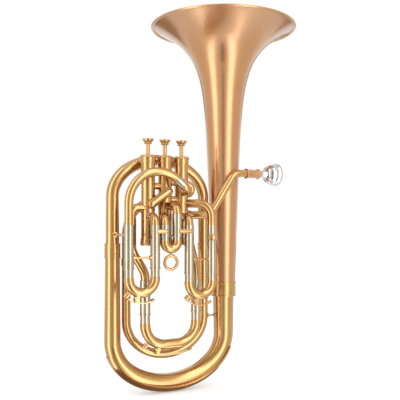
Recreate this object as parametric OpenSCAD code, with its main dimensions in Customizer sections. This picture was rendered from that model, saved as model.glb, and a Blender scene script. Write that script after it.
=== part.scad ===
// Baritone horn with three sprung piston valves, four pull-out slides and a removable mouthpiece.
// Upright in its playing position: +Z up, +X towards the bell side, +Y away from the valve fronts.
// The origin is under the lowest point of the bottom bow, midway between the left branch and the bell.

/* [Bell] */
// Outside diameter of the bell at its rim
bell_rim_d = 231; // [190:1:280]
// Height of the bell rim above the lowest point of the bow guard
bell_top = 572; // [476:1:690]
// Outside diameter of the bell where it enters its ferrule
bell_tail_d = 37.4; // [36:0.1:42]
// How much the bell's radius grows for each millimetre up, below the flare
bell_taper = 0.036; // [0.03:0.001:0.04]
// Height over which the flare falls to about a third of its width
flare_len = 36.5; // [28:0.5:42]
// Sheet thickness of the bell
bell_wall = 0.8; // [0.5:0.1:1.5]
// Diameter of the wire rolled into the rim
rim_wire_d = 4; // [3:0.25:6]
// Height of the lower edge of the ferrule that joins the bell to the bottom bow
bell_ferrule_z = 142; // [125:1:160]
// Length of that ferrule
bell_ferrule_len = 23; // [16:1:30]

/* [Main tubing] */
// Distance of the bell axis and of the left branch from the middle of the bottom bow
bow_half_span = 94; // [88:1:114]
// Depth of the bottom bow's curve below its straight legs
bow_depth = 69; // [60:1:85]
// Diameter of the bottom bow where it meets the bell
bow_bell_d = 33; // [30:0.5:35]
// Diameter of the bottom bow at its lowest point
bow_mid_d = 27; // [24:0.5:30]
// Diameter of the bottom bow where it meets the left branch
bow_branch_d = 21.5; // [19:0.5:23]
// Thickness of the guard strip round the bottom bow
guard_t = 1.2; // [0.8:0.1:2.5]
// Height of the joint between the bottom bow and the left branch
branch_joint_z = 217; // [200:1:225]
// Height at which the top bow starts to curve
top_bow_z = 297; // [285:1:310]
// Rise of the top bow above that height
top_bow_rise = 56; // [45:1:65]
// Diameter of the left branch at its lower end
branch_d = 20; // [18:0.5:21]
// Diameter of the right leg
right_leg_d = 15.5; // [14:0.5:17]
// Distance of the right leg in front of the bell axis, measured along X
right_leg_from_bell = 37; // [34:0.5:40]
// Height of the joint in the right leg
leg_joint_z = 222; // [205:1:240]
// Distance of the inner bow's left leg from the left branch
inner_leg_from_branch = 21.5; // [20:0.5:26]
// Height at which the inner bow starts to curve
inner_bow_z = 112; // [104:1:124]
// Depth of the inner bow's curve
inner_bow_depth = 53.5; // [46:0.5:58]
// Diameter of the inner bow's left leg and of the back arch
small_tube_d = 13; // [12:0.25:13.5]
// Height of the joint between the inner bow and the back arch
arch_joint_z = 200; // [185:1:215]
// Height at which the back arch starts to curve
back_arch_z = 240; // [232:1:246]
// Radius of the back arch
back_arch_r = 52.5; // [46:0.5:56]
// Wall of the main tubing
tube_wall = 0.8; // [0.5:0.1:1]

/* [Valves] */
// Clear distance between neighbouring valve casings
valve_gap = 6.6; // [5.5:0.1:9]
// Place of the middle valve along X
middle_valve_x = -24; // [-30:0.5:-18]
// Distance of the valve row in front of the bell axis
valve_row_y = 32; // [32:0.5:38]
// Outside diameter of a valve casing
casing_d = 20.4; // [19:0.2:25]
// Diameter of a piston
piston_d = 17.5; // [16:0.1:18.5]
// Height of the underside of the bottom caps
valve_bottom_z = 225; // [215:1:235]
// Height of the tops of the top caps
valve_top_z = 357; // [350:1:366]
// How far a finger button goes down
valve_travel = 16; // [12:0.5:17]
// Diameter of the bores through a piston
port_d = 9; // [7:0.25:10]
// Diameter of a finger button
button_d = 16.5; // [13:0.5:20]
// Diameter of the stem between a piston and its button
stem_d = 6; // [5:0.25:8]
// Wire diameter of a valve spring
spring_wire_d = 1.2; // [0.8:0.1:1.6]
// Number of turns in a valve spring
spring_turns = 8; // [5:1:9]

/* [Valve slides] */
// Distance of the three valve slides in front of the bell axis
slide_row_y = 62; // [60:0.5:68]
// Diameter of the sliding legs of the valve slides
leg_d = 12.8; // [11.5:0.1:13.4]
// Diameter of the sleeves and bows of the valve slides
sleeve_d = 14; // [13.6:0.1:14.6]
// Diameter of the knuckles and arches between the valves and the slides
knuckle_d = 12.6; // [11:0.1:12.8]
// Height of the tops of the sleeves
sleeve_top_z = 255; // [250:1:260]
// Bend radius of the knuckles
knuckle_r = 12; // [10:0.5:14]
// Bend radius of the first valve's upper knuckle
upper_knuckle_r = 20; // [12:0.5:24]
// Centre distance of the third slide's legs
third_gap = 40; // [36:0.5:46]
// Length of the third slide's sleeves
third_sleeve_len = 62; // [52:1:70]
// Bare leg between the third slide's sleeves and its bow
third_bare = 11; // [8:0.5:16]
// Centre distance of the second slide's legs
second_gap = 19.5; // [17:0.25:20]
// Length of the second slide's left sleeve
second_sleeve_len = 16.5; // [15:0.5:20]
// Height of the second slide's right sleeve above its left sleeve
second_step = 16; // [15:0.5:18]
// Bare leg between the second slide's sleeves and its bow
second_bare = 5.5; // [4:0.5:8]
// Outside diameter of the second slide's pull ring
ring_d = 24; // [20:0.5:26]
// Thickness of the pull ring
ring_t = 4.4; // [3:0.2:5]
// Centre distance of the first slide's legs
first_gap = 37; // [34:0.5:42]
// Length of the first slide's sleeves
first_sleeve_len = 71; // [60:1:78]
// Bare leg between the first slide's sleeves and its bow
first_bare = 11; // [8:0.5:16]
// Radius of the tall arch from the third slide to the first valve
third_arch_r = 46; // [42:0.5:50]
// Height at which that arch starts to curve
third_arch_z = 285; // [280:0.5:292]

/* [Tuning slide] */
// Place of the tuning slide's left leg along X
tuning_left_x = -55.5; // [-60:0.5:-50]
// Centre distance of the tuning slide's legs
tuning_gap = 83; // [76:0.5:88]
// Diameter of the tuning slide's legs
tuning_leg_d = 14; // [13.6:0.1:14.6]
// Diameter of the tuning slide's sleeves and bow
tuning_sleeve_d = 15.2; // [15.2:0.1:16]
// Height of the tops of the tuning slide's sleeves
tuning_top_z = 174; // [168:1:180]
// Length of the tuning slide's sleeves
tuning_sleeve_len = 50; // [44:1:54]
// Bare leg between the tuning sleeves and the tuning bow
tuning_bare = 12; // [8:0.5:16]
// Bend radius of the tuning bow's corners
tuning_r = 31; // [26:0.5:34]

/* [Leadpipe and mouthpiece] */
// Height at which the leadpipe enters the first valve
leadpipe_low_z = 270; // [268:0.5:276]
// Height of the mouthpiece axis
leadpipe_high_z = 336; // [328:0.5:346]
// Slope of the leadpipe where it crosses the bell
leadpipe_slope = 56; // [48:1:64]
// Bend radius of the leadpipe
leadpipe_r = 22; // [16:0.5:28]
// Diameter of the leadpipe
leadpipe_d = 12; // [10.5:0.25:12.5]
// Length of the leadpipe past the bell axis, measured along X
leadpipe_past_bell = 26; // [23:0.5:32]
// Length of the receiver that holds the mouthpiece
receiver_len = 20; // [16:0.5:26]
// Outside diameter of the mouthpiece rim
mouthpiece_rim_d = 36; // [33:0.5:40]
// Diameter of the mouthpiece cup inside the rim
mouthpiece_cup_d = 25.4; // [23:0.2:27]
// Length of the mouthpiece outside the receiver
mouthpiece_reach = 36; // [32:0.5:42]

/* [Water keys and lyre holder] */
// Width of a water key's lever
key_w = 4.6; // [3.5:0.2:6]
// Thickness of a water key's lever
key_t = 1.5; // [1:0.1:2.5]
// Diameter of a water key's cork cup
key_cup_d = 9; // [7:0.25:11]
// Diameter of a water key's hinge pin
key_pin_d = 2; // [1.5:0.1:2.4]
// Diameter of the socket for a music lyre
lyre_bore_d = 5; // [4:0.25:6]
// Height of the lyre holder
lyre_h = 10; // [8:0.5:14]
// Diameter of the lyre holder's thumb screw head
lyre_knob_d = 9; // [7:0.5:12]

/* [Hidden] */
$fn = 96;

brass = [0.86, 0.66, 0.30];
rose_brass = [0.80, 0.55, 0.38];
nickel = [0.78, 0.77, 0.75];
silver = [0.88, 0.88, 0.90];
felt_cream = [0.80, 0.72, 0.56];
steel = [0.70, 0.70, 0.72];

// Radial clearance of what slides or turns, and the solder gap of what is fixed
running = 0.05;
solder = 0.02;
// Overlap that makes two solids of one piece fuse, and the reach of a cutting solid past a face
bite = 0.5;
sides = 16;
bend_rings = 20;

// Places along the main tubing
left_x = -bow_half_span;
bell_x = bow_half_span;
bow_low_z = guard_t + solder + bow_mid_d / 2;
bow_spring_z = bow_low_z + bow_depth;
right_leg_x = bell_x - right_leg_from_bell;
inner_leg_x = left_x + inner_leg_from_branch;
arch_right_x = inner_leg_x + 2 * back_arch_r;
bell_joint_z = bell_ferrule_z + bell_ferrule_len / 2;
bell_tail_z = bell_ferrule_z + bell_ferrule_len;
ferrule_wall = 0.9;
ferrule_half = 5;
branch_ferrule_half = 11;
bead = 0.8;

// Places of the valves
valve_y = -valve_row_y;
slide_y = -slide_row_y;
valve_pitch = casing_d + valve_gap;
valve_x = [for (i = [0 : 2]) middle_valve_x + (1 - i) * valve_pitch];
casing_r = casing_d / 2;
casing_bore_d = piston_d + 2 * running;
cap_d = casing_d + 1.8;
cap_skirt = 7;
cap_floor = 4;
cap_plate = 5;
casing_low_z = valve_bottom_z + cap_floor;
casing_high_z = valve_top_z - cap_plate;
piston_top_z = casing_high_z - 0.3;
piston_len = 90;
piston_low_z = piston_top_z - piston_len;
button_h = 4.5;
felt_h = 2.8;
felt_d = 11;
button_low_z = valve_top_z + valve_travel + felt_h + 0.5;
spring_d = 12;
spring_end_gap = 0.3;

// Places of the valve slides
third_right_x = valve_x[2] - 2;
third_left_x = third_right_x - third_gap;
second_right_x = middle_valve_x + 5.5;
second_left_x = second_right_x - second_gap;
first_left_x = valve_x[0] - 2;
first_right_x = first_left_x + first_gap;
sleeve_seat = 4;
leg_stop = 0.6;
leg_wall = 0.5;
sleeve_ring_h = 2;
sleeve_ring_t = 0.8;
bow_collar = 2;
third_bow_z = sleeve_top_z - third_sleeve_len - third_bare - bow_collar;
second_bow_z = sleeve_top_z - second_sleeve_len - second_bare - bow_collar;
first_bow_z = sleeve_top_z - first_sleeve_len - first_bare - bow_collar;
tuning_bow_z = tuning_top_z - tuning_sleeve_len - tuning_bare - bow_collar;
tuning_right_x = tuning_left_x + tuning_gap;
knuckle_wall = 0.6;
knuckle_z = sleeve_top_z + knuckle_r;
second_upper_z = knuckle_z + second_step;

// The tall arch runs from the third slide's left sleeve to the front of the first valve
third_arch_x = third_left_x + third_arch_r;
third_arch_end = 51;
arch_end_x = third_arch_x + third_arch_r * cos(third_arch_end);
arch_end_z = third_arch_z + third_arch_r * sin(third_arch_end);
arch_ferrule_len = 12;
arch_run = (valve_x[0] - arch_end_x) / sin(third_arch_end);
arch_port_z = arch_end_z - arch_run * cos(third_arch_end);
// The first valve's upper knuckle passes under the arch's elbow
arch_clear = 4.1;
first_upper_z = arch_port_z - knuckle_d - arch_clear;

// Places of the tubes that join the valves
cross_d = 10;
cross_left_z = [valve_top_z - 45, valve_top_z - 63];
cross_right_z = [valve_top_z - 39, valve_top_z - 64];
diagonal_d = 13;
diagonal_z = [valve_top_z - 53, valve_top_z - 72];
diagonal_y = valve_y - casing_r - 3;
feed_z = valve_top_z - 77;
collar_len = 5;
collar_d = knuckle_d + 1.6;
feed_bend_r = 10;
feed_x = valve_x[2] - casing_r - collar_len - feed_bend_r - 0.3;
feed_low_z = tuning_top_z - sleeve_seat;
feed_s_z = 225;
loop_r = 8;
loop_d = 10;
loop_z = valve_top_z - 48;
loop_reach = 13;

// Lyre holder, turned towards the player's front
lyre_turn = -28;
lyre_z = sleeve_top_z - 18;
lyre_wall = 1.9;
lyre_foot_t = 1.4;
lyre_screw_d = 3;

// Radius of the bell's outside at a height, and how much it grows for each step up
flare_top = bell_top - bell_wall;
flare_rise = (bell_rim_d - bell_tail_d) / 2 - bell_taper * (flare_top - bell_tail_z);
function flare_r(z) = flare_rise * exp((z - flare_top) / flare_len);
function bell_r(z) = bell_tail_d / 2 + bell_taper * (z - bell_tail_z) + flare_r(z);
function bell_slope(z) = bell_taper + flare_r(z) / flare_len;

// Smooth step from 0 to 1
function ease(t) = t * t * (3 - 2 * t);
function mix(a, b, t) = a + (b - a) * t;

// Points of an elliptic arc in the XZ plane at depth y, from angle a0 to a1
function arc_points(cx, cz, rx, rz, a0, a1, n, y = 0) =
  [for (i = [0 : n]) let (a = mix(a0, a1, i / n)) [cx + rx * cos(a), y, cz + rz * sin(a)]];

// Length of a path up to each of its points
function path_lengths(p, i = 0, sum = 0) =
  i >= len(p) ? [] :
  let (here = i == 0 ? 0 : sum + norm(p[i] - p[i - 1]))
  concat([here], path_lengths(p, i + 1, here));

// Value between the stops [place, value] of a list, at place s
function along(stops, s, i = 0) =
  i >= len(stops) - 1 ? stops[len(stops) - 1][1] :
  s <= stops[i + 1][0] ?
    mix(stops[i][1], stops[i + 1][1], max(0, (s - stops[i][0]) / (stops[i + 1][0] - stops[i][0]))) :
  along(stops, s, i + 1);

function unit(v) = v / norm(v);
function path_tangent(p, i) = unit(p[min(i + 1, len(p) - 1)] - p[max(i - 1, 0)]);

// Outward and sideways directions of a path that never runs along ref
function path_side(p, i, ref) = let (t = path_tangent(p, i)) unit(ref - (ref * t) * t);
function path_out(p, i, ref) = cross(path_tangent(p, i), path_side(p, i, ref));
function ring_point(p, i, r, a, ref) =
  p[i] + r * (cos(a) * path_out(p, i, ref) + sin(a) * path_side(p, i, ref));

// Two triangles of a quad, given by its corners in turn
function quad(a, b, c, d) = [[a, b, c], [a, c, d]];

// Hollow tube swept along a path: r holds the outside radius at each point
module swept_tube(p, r, wall, n = sides, ref = [0, 1, 0]) {
  m = len(p);
  shells = [0, wall];
  points = [for (w = shells) for (i = [0 : m - 1]) for (k = [0 : n - 1])
    ring_point(p, i, r[i] - w, 360 * k / n, ref)];
  inner = m * n;
  faces = concat(
    [for (i = [0 : m - 2]) for (k = [0 : n - 1]) let (j = (k + 1) % n)
      each quad(i * n + k, (i + 1) * n + k, (i + 1) * n + j, i * n + j)],
    [for (i = [0 : m - 2]) for (k = [0 : n - 1]) let (j = (k + 1) % n)
      each quad(inner + i * n + j, inner + (i + 1) * n + j, inner + (i + 1) * n + k, inner + i * n + k)],
    [for (k = [0 : n - 1]) let (j = (k + 1) % n) each quad(k, j, inner + j, inner + k)],
    [for (k = [0 : n - 1]) let (j = (k + 1) % n, e = (m - 1) * n)
      each quad(inner + e + k, inner + e + j, e + j, e + k)]);
  polyhedron(points, faces);
}

// Strip of thickness t that lies on the outside of a swept tube, over half_steps steps each way
module swept_strip(p, r, t, half_steps, n = sides, ref = [0, 1, 0]) {
  m = len(p);
  w = 2 * half_steps + 1;
  points = [for (lift = [0, t]) for (i = [0 : m - 1]) for (k = [-half_steps : half_steps])
    ring_point(p, i, r[i] + lift, 360 * k / n, ref)];
  up = m * w;
  faces = concat(
    [for (i = [0 : m - 2]) for (k = [0 : w - 2]) let (q = i * w + k)
      each quad(up + q, up + q + w, up + q + w + 1, up + q + 1)],
    [for (i = [0 : m - 2]) for (k = [0 : w - 2]) let (q = i * w + k)
      each quad(q + 1, q + w + 1, q + w, q)],
    [for (i = [0 : m - 2]) let (q = i * w) each quad(q, q + w, up + q + w, up + q)],
    [for (i = [0 : m - 2]) let (q = i * w + w - 1) each quad(up + q, up + q + w, q + w, q)],
    [for (k = [0 : w - 2]) each quad(k, up + k, up + k + 1, k + 1)],
    [for (k = [0 : w - 2]) let (q = (m - 1) * w + k) each quad(q + 1, up + q + 1, up + q, q)]);
  polyhedron(points, faces);
}

// Upright tube from the origin
module tube(d, bore, h) {
  difference() {
    cylinder(d = d, h = h);
    translate([0, 0, -bite]) cylinder(d = bore, h = h + 2 * bite);
  }
}

// Solid bend in the XZ plane about the origin, from angle a0 over the given sweep
module bend(r, d, a0, sweep) {
  rotate([90, 0, 0]) rotate([0, 0, a0]) rotate_extrude(angle = sweep) translate([r, 0]) circle(d = d);
}

// Elbow that rises from the origin, bends towards +Y at radius r and runs on
module elbow_solid(d, rise, r, run) {
  cylinder(d = d, h = rise);
  translate([0, r, rise]) rotate([0, 0, 90]) bend(r, d, 90, 90);
  translate([0, r, rise + r]) rotate([-90, 0, 0]) cylinder(d = d, h = run);
}

module elbow(d, wall, rise, r, run) {
  difference() {
    elbow_solid(d, rise, r, run);
    elbow_solid(d - 2 * wall, rise, r, run);
  }
}

// Solid that takes the place of a valve casing
module casing_core(i, gap = solder) {
  translate([valve_x[i], valve_y, casing_low_z])
    cylinder(r = casing_r + gap, h = casing_high_z - casing_low_z);
}

// Knuckle from the top of a sleeve at x into the front of valve i at height port_z
module knuckle(x, top_z, i, port_z, r = knuckle_r) {
  dx = x - valve_x[i];
  dy = slide_row_y - valve_row_y;
  difference() {
    translate([x, slide_y, top_z - sleeve_seat]) rotate([0, 0, atan2(dx, dy)])
      elbow(knuckle_d, knuckle_wall, port_z - r - top_z + sleeve_seat, r, norm([dx, dy]) - r);
    casing_core(i);
  }
}

// Slide sleeve, open downwards, with a seat for a tube in its top and a ring round its mouth
module sleeve(x, y, top_z, length, d, bore_leg, seat_d) {
  translate([x, y, top_z - length]) difference() {
    union() {
      cylinder(d = d, h = length);
      cylinder(d = d + 2 * sleeve_ring_t, h = sleeve_ring_h);
    }
    translate([0, 0, -bite]) cylinder(d = bore_leg + 2 * running, h = length - sleeve_seat + bite);
    translate([0, 0, -bite]) cylinder(d = seat_d + 2 * solder, h = length + 2 * bite);
  }
}

// Sliding leg, from the bow up to just under the seat of its sleeve
module slide_leg(x, y, bow_z, sleeve_top, d) {
  translate([x, y, bow_z]) tube(d, d - 2 * leg_wall, sleeve_top - sleeve_seat - leg_stop - bow_z);
}

// Solid of a U-shaped bow: corner radius r, straight bottom run between the corners
module bow_solid(r, d, gap) {
  for (s = [0, 1]) mirror([s, 0, 0]) translate([gap / 2 - r, 0, 0]) bend(r, d, 270, 90);
  flat = gap - 2 * r;
  if (flat > 0) translate([-flat / 2, 0, -r]) rotate([0, 90, 0]) cylinder(d = d, h = flat);
}

// Bow with short collars that the legs stand in
module slide_bow(x, y, z, r, gap, d, leg) {
  translate([x, y, z]) difference() {
    union() {
      bow_solid(r, d, gap);
      for (s = [-1, 1]) translate([s * gap / 2, 0, 0]) cylinder(d = d, h = bow_collar);
    }
    bow_solid(r, leg - 2 * leg_wall, gap);
    for (s = [-1, 1]) translate([s * gap / 2, 0, 0])
      cylinder(d = leg + 2 * solder, h = bow_collar + bite);
  }
}

// Sizes of the water keys: angles round the bow's corner, and heights above the tube
key_cup_at = 226;
key_pivot_at = 253;
key_left_at = 221;
key_tab_at = 296;
key_tab_d = 7.5;
key_boss = 0.4;
key_lift = 7;
key_pivot_lift = 6;
key_hub_d = 5;
key_hub_w = 7;
key_post_w = 1.6;
key_post_l = 5;
nipple_d = 5;
nipple_bore_d = 2.4;
nipple_h = 2.4;
cork_gap = 0.4;

// Places a child out from the bow's left corner, along the angle a, at distance q
module from_corner(a, q) {
  rotate([0, -a, 0]) translate([q, 0, 0]) children();
}

// Arc of a lever round a corner, from the bottom of the bow to the angle a on its right
module lever_arc(q, w, t, a) {
  rotate([90, 0, 0]) rotate([0, 0, 270]) rotate_extrude(angle = a - 270)
    translate([q, -w / 2]) square([t, w]);
}

// Cup, hub, lever and thumb tab of a water key, about the middle of the bow
module water_key(r, d, gap) {
  q = r + d / 2;
  flat = gap - 2 * r;
  difference() {
    union() {
      translate([-flat / 2, 0, 0]) {
        from_corner(key_cup_at, q + nipple_h + cork_gap) rotate([0, 90, 0])
          cylinder(d = key_cup_d, h = key_lift + key_t - nipple_h - cork_gap + key_boss);
        mirror([1, 0, 0]) lever_arc(q + key_lift, key_w, key_t, 540 - key_left_at);
        from_corner(key_pivot_at, q + key_pivot_lift) rotate([90, 0, 0])
          cylinder(d = key_hub_d, h = key_hub_w, center = true);
      }
      if (flat > 0) translate([-flat / 2, -key_w / 2, -q - key_lift - key_t])
        cube([flat, key_w, key_t]);
      translate([flat / 2, 0, 0]) {
        lever_arc(q + key_lift, key_w, key_t, key_tab_at);
        from_corner(key_tab_at, q + key_lift - key_boss) rotate([0, 90, 0])
          cylinder(d = key_tab_d, h = key_t + 2 * key_boss);
      }
    }
    translate([-flat / 2, 0, 0]) from_corner(key_pivot_at, q + key_pivot_lift) rotate([90, 0, 0])
      cylinder(d = key_pin_d + 2 * running, h = key_hub_w + 2 * bite, center = true);
  }
}

// Nipple, hinge posts and pin that carry a water key on its bow
module key_saddle(r, d, gap) {
  q = r + d / 2;
  flat = gap - 2 * r;
  post_y = key_hub_w / 2 + 0.35;
  translate([-flat / 2, 0, 0]) {
    difference() {
      union() {
        from_corner(key_cup_at, q - 1.5) rotate([0, 90, 0]) cylinder(d = nipple_d, h = nipple_h + 1.5);
        for (s = [0, 1]) mirror([0, s, 0])
          from_corner(key_pivot_at, 0) translate([q - 2.5, post_y, -key_post_l / 2])
            cube([key_pivot_lift + 2.5 + key_pin_d, key_post_w, key_post_l]);
      }
      bend(r, d + 2 * solder, 180, 90);
      from_corner(key_cup_at, q - 2) rotate([0, 90, 0]) cylinder(d = nipple_bore_d, h = nipple_h + 4);
    }
    from_corner(key_pivot_at, q + key_pivot_lift) rotate([90, 0, 0])
      cylinder(d = key_pin_d, h = 2 * (post_y + key_post_w) + 1, center = true);
  }
}

// Outside of the bell between two heights, and the inside a wall's thickness away from it
bell_steps = 36;
bell_edge_r = (bell_rim_d - rim_wire_d) / 2;
bell_edge_z = flare_top - rim_wire_d / 2 / bell_slope(flare_top);
bell_z = [for (i = [0 : bell_steps])
  bell_edge_z - (bell_edge_z - bell_tail_z) * pow(i / bell_steps, 2.2)];
bell_outside = [for (z = bell_z) [bell_r(z), z]];
bell_inside = [for (z = bell_z) let (s = bell_slope(z))
  [bell_r(z), z] + bell_wall / norm([1, s]) * [-1, s]];

module bell() {
  tail_r = bell_r(bell_tail_z);
  color(rose_brass) translate([bell_x, 0, 0]) {
    rotate_extrude() polygon(concat(
      bell_outside, [[tail_r, bell_joint_z], [tail_r - bell_wall, bell_joint_z]],
      [for (i = [bell_steps : -1 : 0]) bell_inside[i]]));
    rotate_extrude() translate([bell_edge_r, bell_top - rim_wire_d / 2]) circle(d = rim_wire_d);
  }
}

module bell_ferrule() {
  outer = 2 * (bell_r(bell_tail_z) + ferrule_wall);
  color(brass) translate([bell_x, 0, bell_ferrule_z]) difference() {
    union() {
      cylinder(d = outer, h = bell_ferrule_len);
      for (z = [0, bell_ferrule_len - 2]) translate([0, 0, z]) cylinder(d = outer + 2 * bead, h = 2);
    }
    translate([0, 0, -bite]) cylinder(d = bow_bell_d + 2 * solder, h = bell_ferrule_len + 2 * bite);
    translate([0, 0, bell_joint_z - bell_ferrule_z])
      cylinder(r = bell_r(bell_tail_z) + solder, h = bell_ferrule_len);
  }
}

// A tube keeps one diameter inside a ferrule and for a little way out of it
ferrule_run = ferrule_half + 1;
branch_run = branch_ferrule_half + 1;
bow_path = concat(
  [[bell_x, 0, bell_joint_z], [bell_x, 0, bow_spring_z + 12]],
  arc_points(0, bow_spring_z, bow_half_span, bow_depth, 0, -180, bend_rings),
  [[left_x, 0, bow_spring_z + 12], [left_x, 0, branch_joint_z - branch_run], [left_x, 0, branch_joint_z]]);
bow_at = path_lengths(bow_path);
bow_end = bow_at[len(bow_at) - 1];
bow_middle = bow_at[2 + bend_rings / 2];
bow_radii = [for (s = bow_at) along(
  [[0, bow_bell_d], [bow_middle, bow_mid_d], [bow_end - branch_run, bow_branch_d]], s) / 2];

module bottom_bow() {
  color(brass) swept_tube(bow_path, bow_radii, tube_wall);
}

module bow_guard() {
  first = 4;
  last = len(bow_path) - 6;
  color(brass) swept_strip([for (i = [first : last]) bow_path[i]],
    [for (i = [first : last]) bow_radii[i] + solder], guard_t, 3);
}

top_bow_x = (left_x + right_leg_x) / 2;
top_path = concat(
  [[left_x, 0, branch_joint_z], [left_x, 0, branch_joint_z + branch_run]],
  arc_points(top_bow_x, top_bow_z, (right_leg_x - left_x) / 2, top_bow_rise, 180, 0, bend_rings),
  [[right_leg_x, 0, leg_joint_z + ferrule_run], [right_leg_x, 0, leg_joint_z]]);
top_at = path_lengths(top_path);
top_end = top_at[len(top_at) - 1];

module top_bow() {
  stops = [[branch_run, branch_d], [top_end - ferrule_run, right_leg_d]];
  color(brass) swept_tube(top_path, [for (s = top_at) along(stops, s) / 2], tube_wall);
}

inner_path = concat(
  [[right_leg_x, 0, leg_joint_z], [right_leg_x, 0, leg_joint_z - ferrule_run]],
  arc_points((right_leg_x + inner_leg_x) / 2, inner_bow_z, (right_leg_x - inner_leg_x) / 2,
    inner_bow_depth, 0, -180, bend_rings),
  [[inner_leg_x, 0, arch_joint_z - ferrule_run], [inner_leg_x, 0, arch_joint_z]]);
inner_at = path_lengths(inner_path);
inner_stops = [[ferrule_run, right_leg_d], [inner_at[len(inner_at) - 1] - ferrule_run, small_tube_d]];

module inner_bow() {
  color(brass) swept_tube(inner_path, [for (s = inner_at) along(inner_stops, s) / 2], tube_wall);
}

// The back arch comes down on the right while it moves forward to the tuning slide's right sleeve
arch_drop_z = tuning_top_z + 8;
arch_path = concat(
  [[inner_leg_x, 0, arch_joint_z]],
  arc_points(inner_leg_x + back_arch_r, back_arch_z, back_arch_r, back_arch_r, 180, 0, 18),
  [for (i = [1 : 10]) let (t = i / 10) [mix(arch_right_x, tuning_right_x, ease(t)),
    mix(0, valve_y, ease(t)), mix(back_arch_z, arch_drop_z, t)]],
  [[tuning_right_x, valve_y, tuning_top_z - sleeve_seat]]);

module back_arch() {
  color(brass) swept_tube(arch_path, [for (p = arch_path) small_tube_d / 2], tube_wall, 12);
}

// Straight ferrule over a joint between two tubes
module ferrule(x, z, low_d, high_d, half) {
  outer = max(low_d, high_d) + 2 * ferrule_wall;
  translate([x, 0, z]) difference() {
    union() {
      translate([0, 0, -half]) cylinder(d = outer, h = 2 * half);
      for (s = [-half, half - 1.6]) translate([0, 0, s]) cylinder(d = outer + bead, h = 1.6);
    }
    translate([0, 0, -half - bite]) cylinder(d = low_d + 2 * solder, h = half + bite);
    translate([0, 0, -bite]) cylinder(d = high_d + 2 * solder, h = half + 2 * bite);
  }
}

module tube_ferrules() {
  color(brass) {
    ferrule(left_x, branch_joint_z, bow_branch_d, branch_d, branch_ferrule_half);
    ferrule(right_leg_x, leg_joint_z, right_leg_d, right_leg_d, ferrule_half);
    ferrule(inner_leg_x, arch_joint_z, small_tube_d, small_tube_d, ferrule_half);
  }
}

// From the third valve's side the tube turns down and swings across to the tuning slide's left sleeve
feed_path = concat(
  [[valve_x[2] - casing_r - 0.6, valve_y, feed_z]],
  arc_points(feed_x + feed_bend_r, feed_z - feed_bend_r, feed_bend_r, feed_bend_r, 90, 180, 7, valve_y),
  [for (i = [0 : 10]) let (t = i / 10) [mix(feed_x, tuning_left_x, ease(t)), valve_y,
    mix(feed_s_z, tuning_top_z + 4, t)]],
  [[tuning_left_x, valve_y, feed_low_z]]);

module tuning_feed_tube() {
  color(brass) swept_tube(feed_path, [for (p = feed_path) small_tube_d / 2], tube_wall, 12);
}

module tuning_sleeves() {
  color(nickel) for (x = [tuning_left_x, tuning_right_x])
    sleeve(x, valve_y, tuning_top_z, tuning_sleeve_len, tuning_sleeve_d, tuning_leg_d, small_tube_d);
}

leadpipe_end_x = bell_x + leadpipe_past_bell;
leadpipe_high_x = bell_x + 2;
leadpipe_low_x = leadpipe_high_x - (leadpipe_high_z - leadpipe_low_z) / tan(leadpipe_slope);
leadpipe_tangent = leadpipe_r * tan(leadpipe_slope / 2);
leadpipe_path = concat(
  [[valve_x[0] + casing_r + 0.6, valve_y, leadpipe_low_z]],
  arc_points(leadpipe_low_x - leadpipe_tangent, leadpipe_low_z + leadpipe_r, leadpipe_r, leadpipe_r,
    -90, -90 + leadpipe_slope, 6, valve_y),
  arc_points(leadpipe_high_x + leadpipe_tangent, leadpipe_high_z - leadpipe_r, leadpipe_r, leadpipe_r,
    90 + leadpipe_slope, 90, 6, valve_y),
  [[leadpipe_end_x, valve_y, leadpipe_high_z]]);

module leadpipe() {
  color(brass) swept_tube(leadpipe_path, [for (p = leadpipe_path) leadpipe_d / 2], tube_wall, 14);
}

// Receiver and mouthpiece are turned about the X axis at the end of the leadpipe
module on_mouthpiece_axis() {
  translate([leadpipe_end_x, valve_y, leadpipe_high_z]) rotate([0, 90, 0]) children();
}

receiver_seat = 4;
receiver_ring = 2.4;
shank_tip_r = 4.7;
shank_taper = 0.03;
shank_gap = 1;

module mouthpiece_receiver() {
  d = leadpipe_d + 1.6;
  mouth_r = shank_tip_r + shank_taper * (receiver_len - shank_gap) + running;
  color(rose_brass) on_mouthpiece_axis() difference() {
    union() {
      translate([0, 0, -receiver_seat]) cylinder(d = d, h = receiver_len + receiver_seat);
      for (z = [-receiver_seat, receiver_len - receiver_ring])
        translate([0, 0, z]) cylinder(d = d + 2.4, h = receiver_ring);
    }
    translate([0, 0, -receiver_seat - bite])
      cylinder(d = leadpipe_d + 2 * solder, h = receiver_seat + bite);
    translate([0, 0, -bite]) cylinder(r = shank_tip_r + running, h = shank_gap + bite);
    translate([0, 0, shank_gap])
      cylinder(r1 = shank_tip_r + running, r2 = mouth_r, h = receiver_len - shank_gap);
    translate([0, 0, receiver_len]) cylinder(r = mouth_r, h = bite);
  }
}

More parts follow.
